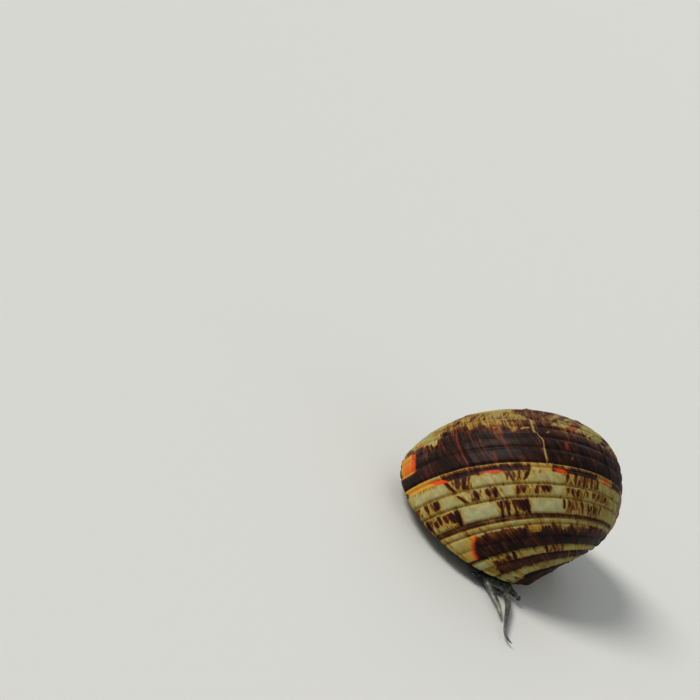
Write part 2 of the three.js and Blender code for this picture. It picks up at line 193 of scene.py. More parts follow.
# Growth lines: fine steps across the ribs, uneven in spacing and strength
def growthShape(turn, angle):
    lines = turn / fullTurn * growthLines["perTurn"]
    waver = 0.35 * noise(turn * 9, angle * 0.12, 3) + 0.25 * noise(turn * 40, angle * 0.3, 5)
    saw = np.mod(lines + waver * 2.2, 1)
    step = smoothstep(0, 0.75, saw) * (1 - smoothstep(0.78, 1.0, saw))
    strength = 0.55 + 0.45 * noise(turn * 14, angle * 0.06, 7)
    return step * strength


def haltShape(turn, angle):
    total = np.zeros(np.broadcast(turn, angle).shape)
    for i, halt in enumerate(growthLines["halts"]):
        edge = halt + 0.03 * noise(angle * 0.07, 0.5, 20 + i)
        rise = smoothstep(edge - growthLines["haltRise"], edge, turn)
        rise = rise * (1 - smoothstep(edge, edge + growthLines["haltFall"], turn))
        total += rise * growthLines["tallHeight" if i == growthLines["tallest"] else "haltHeight"]
    return total


def surfaceLift(turn, angle):
    size = np.exp(-growthRate * turn)
    fade = (1 - 2 * grooveDepth(angle)) * (1 - smoothstep(190, 204, angle))
    fine = growthLines["height"] * growthShape(turn, angle) * fade
    swell = relief["swell"] * noise(turn * 3.1, angle * 0.05, 11)
    swell = swell + relief["ripple"] * noise(turn * 11, angle * 0.21, 13)
    steps = (fine + haltShape(turn, angle)) * size * relief["step"]
    rib = relief["rib"] + relief["crown"] * ribCrown(angle) - grooveDepth(angle)
    return rib + steps + swell - relief["sink"]


# Shader helpers
def newMaterial(name):
    material = bpy.data.materials.new(name)
    material.use_nodes = True
    return material, material.node_tree, material.node_tree.nodes["Principled BSDF"]


def addNode(tree, kind, **settings):
    node = tree.nodes.new(kind)
    for name, value in settings.items():
        setattr(node, name, value)
    return node


def attributeValue(tree, name):
    return addNode(tree, "ShaderNodeAttribute", attribute_name=name).outputs["Fac"]


def calculate(tree, operation, first, second=0.0, clamp=False):
    node = addNode(tree, "ShaderNodeMath", operation=operation, use_clamp=clamp)
    for socket, value in zip(node.inputs, (first, second)):
        if isinstance(value, (int, float)):
            socket.default_value = value
        else:
            tree.links.new(value, socket)
    return node.outputs[0]


# A mask from 0 to 1 turned into a shift either way of nought
def centred(tree, mask, amount):
    return calculate(tree, "MULTIPLY", calculate(tree, "SUBTRACT", mask, 0.5), amount)


def linear(tree, value, factor, offset, clamp=False):
    return calculate(tree, "ADD", calculate(tree, "MULTIPLY", value, factor), offset, clamp)


def ramp(tree, value, stops):
    node = addNode(tree, "ShaderNodeValToRGB")
    elements = node.color_ramp.elements
    while len(elements) < len(stops):
        elements.new(0.5)
    for element, (place, colour) in zip(elements, stops):
        element.position = place
        element.color = (*colour, 1) if len(colour) == 3 else colour
    tree.links.new(value, node.inputs["Fac"])
    return node.outputs["Color"]


def mixColour(tree, factor, first, second, blend="MIX"):
    node = addNode(tree, "ShaderNodeMix", data_type="RGBA", blend_type=blend)
    for socket, value in ((node.inputs[0], factor), (node.inputs[6], first), (node.inputs[7], second)):
        if hasattr(value, "links"):
            tree.links.new(value, socket)
        elif isinstance(value, (int, float)):
            socket.default_value = value
        else:
            socket.default_value = (*value, 1)
    return node.outputs[2]


def newGroup(name, inputs, outputs):
    group = bpy.data.node_groups.new(name, "ShaderNodeTree")
    for socket, kind, value in inputs:
        made = group.interface.new_socket(socket, in_out="INPUT", socket_type=kind)
        if value is not None:
            made.default_value = value
    for socket, kind in outputs:
        group.interface.new_socket(socket, in_out="OUTPUT", socket_type=kind)
    return group, group.nodes.new("NodeGroupInput"), group.nodes.new("NodeGroupOutput")


def useGroup(tree, group, **values):
    node = addNode(tree, "ShaderNodeGroup", node_tree=group)
    for name, value in values.items():
        if hasattr(value, "links"):
            tree.links.new(value, node.inputs[name])
        else:
            node.inputs[name].default_value = value
    return node


# Streaks that run along one direction: the growth lines' colour, or the folds of the skin
def makeStreaks():
    group, inside, outside = newGroup(
        "streaks",
        (("Along", "NodeSocketFloat", 0.0), ("Across", "NodeSocketFloat", 0.0),
         ("Along scale", "NodeSocketFloat", 60.0), ("Across scale", "NodeSocketFloat", 0.1)),
        (("Mask", "NodeSocketFloat"),))
    along = calculate(group, "MULTIPLY", inside.outputs["Along"], inside.outputs["Along scale"])
    across = calculate(group, "MULTIPLY", inside.outputs["Across"], inside.outputs["Across scale"])
    place = addNode(group, "ShaderNodeCombineXYZ")
    group.links.new(along, place.inputs[0])
    group.links.new(across, place.inputs[1])
    streak = addNode(group, "ShaderNodeTexNoise", noise_dimensions="2D")
    streak.inputs["Scale"].default_value = 1.0
    streak.inputs["Detail"].default_value = 3.0
    group.links.new(place.outputs[0], streak.inputs["Vector"])
    group.links.new(streak.outputs["Fac"], outside.inputs["Mask"])
    return group


# Grain: fine speckle at a size given in millimetres
def makeGrain():
    group, inside, outside = newGroup(
        "grain",
        (("Size", "NodeSocketFloat", 0.3), ("Contrast", "NodeSocketFloat", 1.0)),
        (("Mask", "NodeSocketFloat"),))
    place = addNode(group, "ShaderNodeTexCoord")
    grain = addNode(group, "ShaderNodeTexNoise")
    grain.inputs["Detail"].default_value = 4.0
    group.links.new(place.outputs["Object"], grain.inputs["Vector"])
    perMetre = calculate(group, "DIVIDE", 1 / millimetre, inside.outputs["Size"])
    group.links.new(perMetre, grain.inputs["Scale"])
    shifted = centred(group, grain.outputs["Fac"], inside.outputs["Contrast"])
    group.links.new(calculate(group, "ADD", shifted, 0.5, clamp=True), outside.inputs["Mask"])
    return group


streaks, grain = makeStreaks(), makeGrain()


def streakMask(tree, along, across, alongScale, acrossScale):
    scales = {"Along scale": alongScale, "Across scale": acrossScale}
    return useGroup(tree, streaks, Along=along, Across=across, **scales).outputs[0]


def grainMask(tree, size, contrast):
    return useGroup(tree, grain, Size=size, Contrast=contrast).outputs[0]


def linkFinish(tree, shader, colour, rough):
    tree.links.new(colour, shader.inputs["Base Color"])
    tree.links.new(rough, shader.inputs["Roughness"])


shellFinish = {
    "cream": (0.41, 0.39, 0.16), "golden": (0.42, 0.29, 0.06), "tawny": (0.24, 0.10, 0.016),
    "brown": (0.12, 0.034, 0.010), "maroon": (0.050, 0.012, 0.006), "black": (0.009, 0.0045, 0.003),
    "amber": (0.66, 0.30, 0.018), "rust": (0.66, 0.06, 0.008), "chalk": (0.45, 0.48, 0.35),
    # The grime colour is painted shade that darkens the grooves
    # The olive dulling colour here also serves as painted shade on the older shell and the low front
    "filmAndShade": (0.40, 0.42, 0.26), "grooveShade": (0.34, 0.29, 0.19), "mottle": (0.66, 0.6, 0.46),
    "callus": (0.40, 0.37, 0.25), "roughness": 0.5,
}


def linkBump(tree, shader, height, distance, strength=1.0):
    bump = addNode(tree, "ShaderNodeBump")
    bump.inputs["Distance"].default_value = distance * millimetre
    bump.inputs["Strength"].default_value = strength
    tree.links.new(height, bump.inputs["Height"])
    tree.links.new(bump.outputs["Normal"], shader.inputs["Normal"])


def makeShellMaterial():
    material, tree, shader = newMaterial("shellSurface")
    finish = shellFinish
    turn, angle = attributeValue(tree, "turn"), attributeValue(tree, "lipAngle")
    names = ("pigment", "chalk", "amber", "rust", "filmAndShade", "groove", "callus")
    pigment, chalk, amber, rust, filmAndShade, groove, callus = (attributeValue(tree, name) for name in names)
    fine = streakMask(tree, turn, angle, 70.0, 0.09)
    broad = streakMask(tree, turn, angle, 19.0, 0.04)
    speckle = grainMask(tree, 0.5, 1.0)
    both = linear(tree, fine, 0.55, calculate(tree, "MULTIPLY", broad, 0.45))
    shade = calculate(tree, "ADD", pigment, centred(tree, both, 1.2))
    shade = calculate(tree, "ADD", shade, centred(tree, speckle, 0.3), clamp=True)
    colour = ramp(tree, shade, (
        (0.0, finish["cream"]), (0.2, finish["golden"]), (0.36, finish["tawny"]),
        (0.52, finish["brown"]), (0.7, finish["maroon"]), (0.95, finish["black"])))
    pale = calculate(tree, "SUBTRACT", 1.0, calculate(tree, "MULTIPLY", pigment, 2.5), clamp=True)
    patchy = linear(tree, both, 2.4, -0.7, clamp=True)
    chalky = calculate(tree, "MULTIPLY", chalk, patchy)
    chalky = calculate(tree, "MULTIPLY", chalky, pale, clamp=True)
    colour = mixColour(tree, chalky, colour, finish["chalk"])
    mottle = calculate(tree, "MULTIPLY", grainMask(tree, 0.9, 2.6), 0.7)
    colour = mixColour(tree, mottle, colour, finish["mottle"], "MULTIPLY")
    ambered = calculate(tree, "MULTIPLY", amber, calculate(tree, "ADD", broad, 0.35), clamp=True)
    colour = mixColour(tree, ambered, colour, finish["amber"])
    colour = mixColour(tree, calculate(tree, "MULTIPLY", rust, 0.85), colour, finish["rust"])
    # Painted shade with olive dulling: darkens the older shell and the low front, and dulls the shoulder
    filmAndShadeAmount = calculate(tree, "MULTIPLY", filmAndShade, linear(tree, speckle, 0.8, 0.25), clamp=True)
    colour = mixColour(tree, filmAndShadeAmount, colour, finish["filmAndShade"], "MULTIPLY")
    # Painted shade in the grooves: the groove mask darkens them
    grooveShadeAmount = calculate(tree, "MULTIPLY", groove, 0.5)
    colour = mixColour(tree, grooveShadeAmount, colour, finish["grooveShade"], "MULTIPLY")
    colour = mixColour(tree, callus, colour, finish["callus"])
    linkFinish(tree, shader, colour, linear(tree, speckle, 0.2, finish["roughness"] - 0.1))
    shader.inputs["Specular IOR Level"].default_value = 0.16
    linkBump(tree, shader, both, 0.06, 0.6)
    return material


porcelainFinish = {
    "colours": ((0.2, (0.46, 0.44, 0.32)), (0.55, (0.58, 0.55, 0.43)), (0.9, (0.5, 0.4, 0.2))),
    "roughness": 0.22,
}


def makePorcelain():
    material, tree, shader = newMaterial("porcelain")
    mottle = grainMask(tree, 2.5, 1.4)
    tree.links.new(ramp(tree, mottle, porcelainFinish["colours"]), shader.inputs["Base Color"])
    shader.inputs["Roughness"].default_value = porcelainFinish["roughness"]
    linkBump(tree, shader, grainMask(tree, 0.4, 1.0), 0.02, 0.5)
    return material


shellMaterials = (makeShellMaterial(), makePorcelain())


# Meshes
def withBothMaterials(piece):
    for material in shellMaterials:
        piece.data.materials.append(material)
    return piece


def shadeSmooth(piece):
    piece.data.polygons.foreach_set("use_smooth", np.ones(len(piece.data.polygons), bool))


def meshObject(name, points, faces):
    mesh = bpy.data.meshes.new(name)
    mesh.from_pydata(points, [], faces)
    mesh.validate()
    piece = bpy.data.objects.new(name, mesh)
    bpy.context.scene.collection.objects.link(piece)
    return withBothMaterials(piece)


def setAttribute(piece, name, values):
    layer = piece.data.attributes.get(name) or piece.data.attributes.new(name, "FLOAT", "POINT")
    layer.data.foreach_set("value", np.ascontiguousarray(values, np.float32))


def getAttribute(piece, name):
    values = np.empty(len(piece.data.vertices), np.float32)
    piece.data.attributes[name].data.foreach_get("value", values)
    return values.astype(float)


def pointsOf(piece):
    points = np.empty(len(piece.data.vertices) * 3, np.float32)
    piece.data.vertices.foreach_get("co", points)
    return points.reshape(-1, 3).astype(float) / millimetre


def normalsOf(piece):
    normals = np.empty(len(piece.data.vertices) * 3, np.float32)
    piece.data.vertex_normals.foreach_get("vector", normals)
    return normals.reshape(-1, 3).astype(float)


def setPoints(piece, points):
    piece.data.vertices.foreach_set("co", np.ascontiguousarray(points * millimetre, np.float32).ravel())
    piece.data.update()


def gridFaces(rows, size):
    i, j = np.meshgrid(np.arange(rows - 1), np.arange(size), indexing="ij")
    k = (j + 1) % size
    corners = (i * size + j, i * size + k, (i + 1) * size + k, (i + 1) * size + j)
    return np.stack(corners, -1).reshape(-1, 4)


# A closed body through rings of points, with a fan at each end
def sweepMesh(name, rings, fields=None):
    rows, size = rings.shape[:2]
    faces = [tuple(face) for face in gridFaces(rows, size).tolist()]
    points = rings.reshape(-1, 3)
    ends = np.stack([rings[0].mean(0), rings[-1].mean(0)])
    points = np.concatenate([points, ends])
    count = rows * size
    for j in range(size):
        k = (j + 1) % size
        faces.append((count, k, j))
        faces.append((count + 1, (rows - 1) * size + j, (rows - 1) * size + k))
    piece = meshObject(name, points, faces)
    for field, values in (fields or {}).items():
        values = np.broadcast_to(values, (rows, size))
        setAttribute(piece, field, np.append(values.ravel(), (values[0, 0], values[-1, 0])))
    if signedVolume(points, piece) < 0:
        piece.data.flip_normals()
    return piece


def signedVolume(points, piece):
    piece.data.calc_loop_triangles()
    corners = np.empty(len(piece.data.loop_triangles) * 3, np.int32)
    piece.data.loop_triangles.foreach_get("vertices", corners)
    a, b, c = points[corners.reshape(-1, 3)].transpose(1, 0, 2)
    return np.einsum("ij,ij->i", a, np.cross(b, c)).sum()


def inner(piece):
    piece.data.polygons.foreach_set("material_index", np.ones(len(piece.data.polygons), np.int32))
    return piece


def combine(target, other, operation):
    modifier = target.modifiers.new(operation, "BOOLEAN")
    modifier.material_mode = "INDEX"
    modifier.operation = operation
    modifier.solver = "MANIFOLD"
    modifier.object = other
    bake(target)
    bpy.data.objects.remove(other)
    return target


def bake(piece):
    bpy.context.view_layer.update()
    graph = bpy.context.evaluated_depsgraph_get()
    mesh = bpy.data.meshes.new_from_object(piece.evaluated_get(graph))
    piece.modifiers.clear()
    old = piece.data
    piece.data = mesh
    bpy.data.meshes.remove(old)


# The shell as one closed body
shell = {"angles": 330, "rows": 760, "spireAngles": 130, "spireRows": 240, "wall": 2.2,
         "edgeWall": 1.3, "edge": 0.03, "edgeRound": 0.4,
         "pillarRadius": 2.6, "pillarLength": 24.0, "pillarDown": 1.2}
base = {"x": -1.0, "y": -0.8, "across": 11.4, "along": 12.2, "rise": 8.0, "cut": 7.3, "lean": 0.5,
        "back": 12.0, "under": 0.25, "lipFrom": 35.0, "roundFrom": 22.0, "roundDepth": 2.6,
        "soften": 4.0, "topAngle": 64.0, "anglePerHeight": 8.5, "fadeOver": 3.0,
        "wallPoints": 44, "fadePoints": 33, "sidePoints": 110,
        "insets": ((0, 1.9), (0.03, 1.15), (0.08, 0.65), (0.16, 0.3), (0.3, 0.2), (0.55, 1.2), (1, 4.5))}
mouth = {"back": 36.0, "front": 196.0, "depth": 0.5, "shelf": -4.6}


def whorlRings(fromTurn, toTurn, rows, angleCount, core):
    angle = np.linspace(0, coil["lipEnd"], angleCount)
    plain, outward = lipPoint(np.radians(angle)), lipOutward(np.radians(angle))
    turn = np.linspace(fromTurn, toTurn, rows + 1)[:, None]
    lift = surfaceLift(turn, angle[None, :])
    edge = np.clip(turn / shell["edge"] + 1, 0, 1)
    lift = lift - shell["edgeRound"] * (1 - np.sqrt(1 - edge ** 2 * 0.98))
    ring = plain[None] + outward[None] * lift[..., None]
    ring = np.concatenate([ring, np.broadcast_to(core, (rows + 1, 1, 3))], 1)
    turns = np.broadcast_to(turn, (rows + 1, angleCount + 1))
    return grown(ring, turns), {"turn": turns, "lipAngle": np.append(angle, angle[-1]), "onBase": 0.0}


# Whorls between two stages, in quarter turns that don't cross themselves
def whorls(name, fromTurn, toTurn, rowsPerTurn, angleCount, core):
    quarters = math.ceil((toTurn - fromTurn) / (fullTurn / 4) - 1e-6)
    rows = max(2, round(rowsPerTurn * (toTurn - fromTurn) / fullTurn / quarters))
    stages = np.linspace(fromTurn, toTurn, quarters + 1)
    whole = None
    for start, end in zip(stages[:-1], stages[1:]):
        piece = sweepMesh(name, *whorlRings(start, end, rows, angleCount, core))
        whole = piece if whole is None else combine(whole, piece, "UNION")
    return whole


def pillar():
    bpy.ops.mesh.primitive_cone_add(vertices=48, radius1=shell["pillarRadius"], radius2=0,
                                    depth=shell["pillarLength"])
    piece = bpy.context.object
    axis = Vector(coilAxis)
    middle = Vector(coil["apex"]) - axis * (shell["pillarDown"] + shell["pillarLength"] / 2)
    tilt = Vector((0, 0, 1)).rotation_difference(axis).to_matrix().to_4x4()
    piece.data.transform(Matrix.Translation(middle) @ tilt)
    return withBothMaterials(piece)


# The base: a rounded margin from the lip's end round the right to the suture
def baseBody():
    heights = np.concatenate([np.linspace(0, 0.3, 30), np.linspace(0.32, 1, 36)])
    insets = np.interp(heights, *zip(*base["insets"]))
    frontRight = np.array([1, -1, 0]) / math.sqrt(2)
    rings = []
    for height, inset in zip(heights, insets):
        angle = np.linspace(base["lipFrom"], 0, base["wallPoints"])
        turnIn = np.clip((angle - base["roundFrom"]) / (base["lipFrom"] - base["roundFrom"]), 0, 1)
        away = base["under"] + base["roundDepth"] * turnIn ** 2
        angle = np.radians(angle)
        edge = lipPoint(angle) - away[:, None] * lipOutward(angle)
        back = base["back"] - 1.6 * max(0.0, 1 - height / 0.35) ** 2
        low = np.stack([edge[:, 0], np.minimum(edge[:, 1], back), 0 * edge[:, 0]], -1)
        wall = low + (edge - low) * np.array([height ** 0.6, height ** 0.6, height])
        angle = np.radians(np.linspace(74, -90, base["sidePoints"]))
        side = np.stack([base["x"] + (base["across"] - inset) * np.cos(angle),
                         base["y"] + (base["along"] - inset) * np.sin(angle),
                         np.full(angle.shape, base["rise"] * height)], -1)
        past = side @ frontRight - base["cut"] + 0.5 * inset - base["lean"] * side[:, 2]
        side = side - np.logaddexp(0, past * 3)[:, None] / 3 * frontRight
        close = np.array([[-6, -8, base["rise"] * height], [-10, 2, base["rise"] * height]])
        rings.append(np.concatenate([wall, side, close]))
    rings = np.array(rings)
    # The part under the suture carries the bands of the whorl before, the rest is plain
    turns = np.concatenate([np.linspace(-0.9, 0, base["wallPoints"]),
                            np.linspace(0.03, 3.3, base["sidePoints"]), [3.3, 3.3]]) - fullTurn
    plain = np.clip((np.arange(len(turns)) - base["wallPoints"]) / base["fadePoints"], 0, 1)
    angles = base["topAngle"] + base["anglePerHeight"] * (base["rise"] - rings[:, :, 2])
    fields = {"turn": turns, "lipAngle": angles, "onBase": 2 - smoothstep(0, 1, plain)}
    return sweepMesh("base", rings, fields)


def mouthOutline(inset):
    angle = np.radians(np.linspace(mouth["back"], mouth["front"], 90))
    outline = lipPoint(angle) - inset * lipOutward(angle)
    y = np.linspace(outline[-1, 1] + 0.8, outline[0, 1] - 0.8, 24)
    shelf = mouth["shelf"] - 0.012 * (y + 1.5) ** 2
    return np.concatenate([outline, np.stack([shelf, y, 0 * y], -1)])


def mouthCut():
    turn = np.linspace(-mouth["depth"], 0.03, 70)
    wall = shell["wall"] + (shell["edgeWall"] - shell["wall"]) * smoothstep(-0.13, 0.0, turn)
    rings = np.stack([mouthOutline(inset) for inset in wall])
    return inner(sweepMesh("mouth", grown(rings, np.broadcast_to(turn[:, None], rings.shape[:2]))))


def blockBelow(top):
    bpy.ops.mesh.primitive_cube_add(size=80, location=(0, 0, top - 40))
    piece = bpy.context.object
    piece.data.transform(piece.matrix_world)
    piece.matrix_world = Matrix.Identity(4)
    return inner(withBothMaterials(piece))


def intoPlace(piece):
    turned = Matrix.Rotation(stance["turn"], 4, "Z")
    moved = Matrix.Translation((*stance["middle"], stance["lift"]))
    piece.data.transform(Matrix.Scale(millimetre, 4) @ moved @ turned)
    shadeSmooth(piece)
    return piece


# Cutting leaves tiny loose specks, which go
def dropSpecks(piece, fewest=500):
    edges = np.empty(len(piece.data.edges) * 2, np.int32)
    piece.data.edges.foreach_get("vertices", edges)
    near, far = edges.reshape(-1, 2).T
    label, last = np.arange(len(piece.data.vertices)), None
    while last is None or (label != last).any():
        last = label.copy()
        lowest = np.minimum(label[near], label[far])
        np.minimum.at(label, near, lowest)
        np.minimum.at(label, far, lowest)
        label = label[label]
    speck = np.bincount(label)[label] < fewest
    mesh = bmesh.new()
    mesh.from_mesh(piece.data)
    mesh.verts.ensure_lookup_table()
    bmesh.ops.delete(mesh, geom=[mesh.verts[i] for i in np.flatnonzero(speck)], context="VERTS")
    mesh.to_mesh(piece.data)
    mesh.free()
    print("  specks dropped, points in all:", speck.sum())


# Rounds the corner where the base meets the opening, and the base's lower edge
def softenBase(piece):
    points = np.array([vertex.co for vertex in piece.data.vertices])
    corner = mouthOutline(shell["wall"])[0]
    near = 1 - smoothstep(1.0, base["soften"], np.hypot(*(points - corner)[:, :2].T))
    near *= 1 - smoothstep(5.0, 8.0, points[:, 2])
    edge = (getAttribute(piece, "onBase") > 0.5) * (1 - smoothstep(0.3, 1.6, points[:, 2])) * 0.6
    group = piece.vertex_groups.new(name="soften")
    weights = np.maximum(near, edge)
    for i in np.flatnonzero(weights > 0.02):
        group.add([int(i)], float(weights[i]), "REPLACE")
    modifier = piece.modifiers.new("soften", "SMOOTH")
    modifier.vertex_group = "soften"
    modifier.iterations = 120
    modifier.factor = 0.5
    bake(piece)


def makeShell():
    piece = whorls("shell", -fullTurn, 0.0, shell["rows"], shell["angles"], coil["core"])
    print("  body whorl", len(piece.data.polygons))
    spire = whorls("spire", -3 * fullTurn, -fullTurn, shell["spireRows"], shell["spireAngles"],
                   coil["slimCore"])
    combine(piece, spire, "UNION")
    combine(piece, pillar(), "UNION")
    combine(piece, baseBody(), "UNION")
    combine(piece, blockBelow(0.0), "DIFFERENCE")
    combine(piece, mouthCut(), "DIFFERENCE")
    dropSpecks(piece)
    softenBase(piece)
    print("  shell cut", len(piece.data.polygons))
    return intoPlace(piece)


# Markings. Turns run back from the lip and angles along it. A shade is how much pigment a mark
# holds, from 0, pale olive cream, over 0.2, golden, and 0.5, brown, to 1, near black.
# This is where the first dark band begins on the shoulder, turn by turn.
upperEdge = {
    "turns": (-2.1, -1.9, -1.72, -1.5, -1.46, -1.25, -1.2, -1.0, -0.95, -0.9, -0.87, -0.8, -0.6, -0.45,
              -0.41, -0.33, -0.27, -0.2, -0.12, 0.0),
    "angles": (56, 58, 52, 57, 50, 47, 51, 54, 56, 61, 55, 51, 51, 52, 65, 61, 58.5, 57, 56, 57),
}
# Dark bands: the angles that they span, how ragged their two edges are, their shade, and how far
# in from the upper edge and how much they redden
darkBands = (
    {"angles": (60.0, 92.2), "rag": (4.0, 0.3), "shade": 1.0, "redTo": 19, "red": 0.42},
    {"angles": (94.6, 99.2), "rag": (0.2, 0.7), "shade": 0.97, "redTo": 1, "red": 0.0},
    {"angles": (140.6, 159.6), "rag": (3.6, 0.4), "shade": 0.98, "redTo": 9, "red": 0.4},
    {"angles": (167.8, 177.8), "rag": (1.0, 0.8), "shade": 0.84, "redTo": 1, "red": 0.0},
    {"angles": (188.4, 206.0), "rag": (1.0, 0.5), "shade": 0.88, "redTo": 1, "red": 0.0},
)
# Single marks: their shade, the turns and the angles that they span, and their lean and softness
patches = (
    (0.14, -1.19, -1.005, 93.2, 100, 0.007), (0.12, -0.33, -0.03, 92.4, 100),
    (0.3, -1.93, -1.66, 93.6, 100, 0.01), (0.2, -0.24, -0.04, 92.4, 97.5),
    (0.06, -0.38, -0.08, 44, 60, -0.01), (0.33, -0.27, -0.19, 56.5, 61, -0.008),
    (0.1, -1.2, -0.93, 43, 52, -0.006), (0.17, -1.64, -1.48, 46, 56.5, 0.012),
    (0.1, -2.06, -1.88, 36, 52, 0.012), (0.42, -0.8, -0.52, 34, 50, -0.016, (0.06, 8)),
    (0.08, -1.12, -0.82, 33, 41, -0.012, (0.06, 5)), (0.3, -0.92, -0.885, 52, 63),
    (0.24, -0.98, -0.955, 52, 63.5, 0.004), (0.15, -1.2, -1.165, 61, 64, 0.008),
    (0.18, -1.155, -1.125, 61.5, 65, 0.008), (0.3, -1.09, -1.05, 61, 68, 0.008),
    (0.2, -1.36, -1.335, 64.5, 67, 0.01), (0.3, -1.455, -1.43, 85.5, 88, 0.01),
    (0.26, -0.83, -0.7, 139, 146.5, 0.008), (0.6, -0.71, -0.645, 144, 153, 0.006),
    (0.2, -1.065, -1.035, 138.5, 145), (0.25, -1.26, -1.235, 138.5, 147),
    (0.66, -0.42, -0.385, 149, 158, 0.004), (0.62, -0.3, -0.265, 147, 158, 0.003),
    (0.2, -0.14, 0.05, 166, 176, 0.008), (0.56, -0.34, -0.16, 164.5, 171, 0.014),
    (0.15, -0.78, -0.43, 160.2, 166.6, 0.006), (0.85, -0.99, -0.955, 160, 167, 0.006),
    (0.6, -0.94, -0.9, 160, 166), (0.08, -0.15, 0.05, 159.8, 168.5),
    (0.12, -0.36, 0.05, 178.5, 190, 0.012), (0.9, -0.48, -0.2, 185.5, 193, 0.014),
    (0.62, -1.3, -1.185, 120, 128, 0.006), (0.05, -1.13, -0.84, 119.6, 131, 0.005),
    (0.05, -0.575, -0.275, 119.6, 131, 0.004),
)
# Brown strokes on the pale ribs: from one turn and angle to another, with their half width
strokes = (
    (-0.338, 99.0, -0.36, 107.6, 0.010, 0.78), (-0.388, 99.5, -0.378, 104, 0.006, 0.55),
    (-0.417, 99.0, -0.40, 106.5, 0.009, 0.72), (-0.445, 99.3, -0.428, 104.5, 0.005, 0.5),
    (-0.492, 99.0, -0.437, 107.2, 0.013, 0.78), (-0.53, 99.0, -0.505, 102.5, 0.008, 0.6),
    (-0.795, 99.3, -0.78, 105.0, 0.006, 0.6), (-0.822, 99.3, -0.81, 105.5, 0.006, 0.64),
    (-0.853, 99.3, -0.835, 104.5, 0.007, 0.66), (-0.90, 99.3, -0.868, 105.0, 0.007, 0.66),
    (-0.98, 98.8, -0.905, 105.8, 0.013, 0.78), (-1.32, 99.0, -1.27, 106.0, 0.012, 0.66),
    (-1.40, 98.5, -1.35, 107.0, 0.010, 0.6), (-1.50, 98.5, -1.44, 107.5, 0.014, 0.62),
    (-1.58, 98.0, -1.53, 107.0, 0.010, 0.6), (-1.66, 98.0, -1.61, 107.0, 0.012, 0.6),
    (-0.19, 110.0, -0.18, 115.8, 0.018, 0.78), (-0.105, 110.2, -0.10, 115.0, 0.011, 0.74),
    (-0.05, 110.0, -0.04, 112.6, 0.010, 0.6), (-0.02, 110.0, -0.01, 116.0, 0.008, 0.6),
    (-0.358, 111.3, -0.392, 117.6, 0.011, 0.7), (-0.495, 110.3, -0.485, 115.8, 0.013, 0.88),
    (-0.583, 110.4, -0.575, 115.8, 0.013, 0.74), (-0.652, 110.0, -0.612, 117.0, 0.012, 0.84),
    (-0.615, 111.5, -0.605, 115.0, 0.006, 0.5), (-0.822, 110.3, -0.785, 116.2, 0.008, 0.64),
    (-0.866, 112.0, -0.835, 115.4, 0.009, 0.78), (-0.98, 110.4, -0.935, 116.2, 0.012, 0.66),
    (-1.025, 110.4, -1.01, 114.6, 0.011, 0.66), (-1.055, 110.3, -1.05, 115.0, 0.014, 0.86),
    (-1.25, 110.8, -1.235, 115.0, 0.014, 0.68), (-1.30, 110.8, -1.28, 115.5, 0.01, 0.6),
    (-1.36, 110.8, -1.33, 116.0, 0.012, 0.6), (-1.47, 110.8, -1.44, 116.0, 0.012, 0.62),
    (-1.54, 110.8, -1.51, 116.0, 0.010, 0.6), (-1.62, 110.5, -1.58, 116.0, 0.014, 0.6),
    (-1.74, 110.5, -1.70, 115.5, 0.014, 0.55), (-0.282, 120.4, -0.235, 131.4, 0.017, 0.9),
    (-0.225, 121.0, -0.215, 128.5, 0.022, 0.8), (-0.178, 121.5, -0.165, 127.0, 0.014, 0.7),
    (-0.137, 120.3, -0.12, 126.5, 0.009, 0.78), (-0.09, 123.0, -0.082, 127.5, 0.011, 0.76),
    (-0.04, 120.5, -0.02, 127.5, 0.012, 0.8), (-0.63, 120.0, -0.55, 135.0, 0.009, 0.8),
    (-0.60, 120.5, -0.585, 126.0, 0.008, 0.6), (-0.672, 120.0, -0.62, 131.5, 0.010, 0.84),
    (-0.722, 120.3, -0.685, 131.5, 0.010, 0.66), (-0.833, 120.0, -0.79, 131.0, 0.013, 0.9),
    (-0.785, 121.0, -0.765, 129.0, 0.026, 0.86), (-0.745, 120.5, -0.73, 128.5, 0.014, 0.68),
    (-1.172, 119.8, -1.13, 127.5, 0.009, 0.78), (-1.36, 120.5, -1.33, 130.0, 0.012, 0.6),
    (-1.44, 120.5, -1.41, 130.0, 0.010, 0.6), (-1.52, 120.0, -1.49, 130.0, 0.012, 0.62),
    (-0.415, 160.4, -0.37, 168.0, 0.016, 0.92), (-0.34, 162.0, -0.315, 168.0, 0.013, 0.7),
    (-0.275, 163.5, -0.26, 168.0, 0.010, 0.66), (-0.205, 163.0, -0.19, 168.5, 0.016, 0.76),
    (-0.77, 160.2, -0.745, 167.0, 0.012, 0.75), (-0.86, 160.2, -0.85, 166.5, 0.012, 0.55),
    (-0.05, 183.0, -0.04, 188.0, 0.010, 0.6), (-0.15, 183.5, -0.13, 188.5, 0.010, 0.6),
)
# Stretches of the pale ribs that are crowded with fine brown strokes
combs = (
    (-0.52, -0.375, 99.2, 107.6), (-0.93, -0.775, 99.2, 106.5), (-1.62, -1.26, 99.0, 107.6),
    (-0.67, -0.56, 110.0, 117.0), (-0.53, -0.42, 110.0, 117.5), (-1.08, -0.8, 110.0, 116.5),
    (-0.2, 0.0, 110.0, 116.5), (-1.8, -1.22, 110.0, 117.0), (-0.29, 0.0, 120.2, 130.5),
    (-0.84, -0.59, 120.2, 131.5), (-1.62, -1.16, 120.0, 131.0), (-0.42, -0.16, 160.5, 167.5),
    (-1.0, -0.78, 160.5, 167.0), (-1.15, -0.5, 40.0, 50.0), (-0.85, -0.36, 48.0, 56.0),
    (-0.45, -0.05, 34.0, 44.0),
)
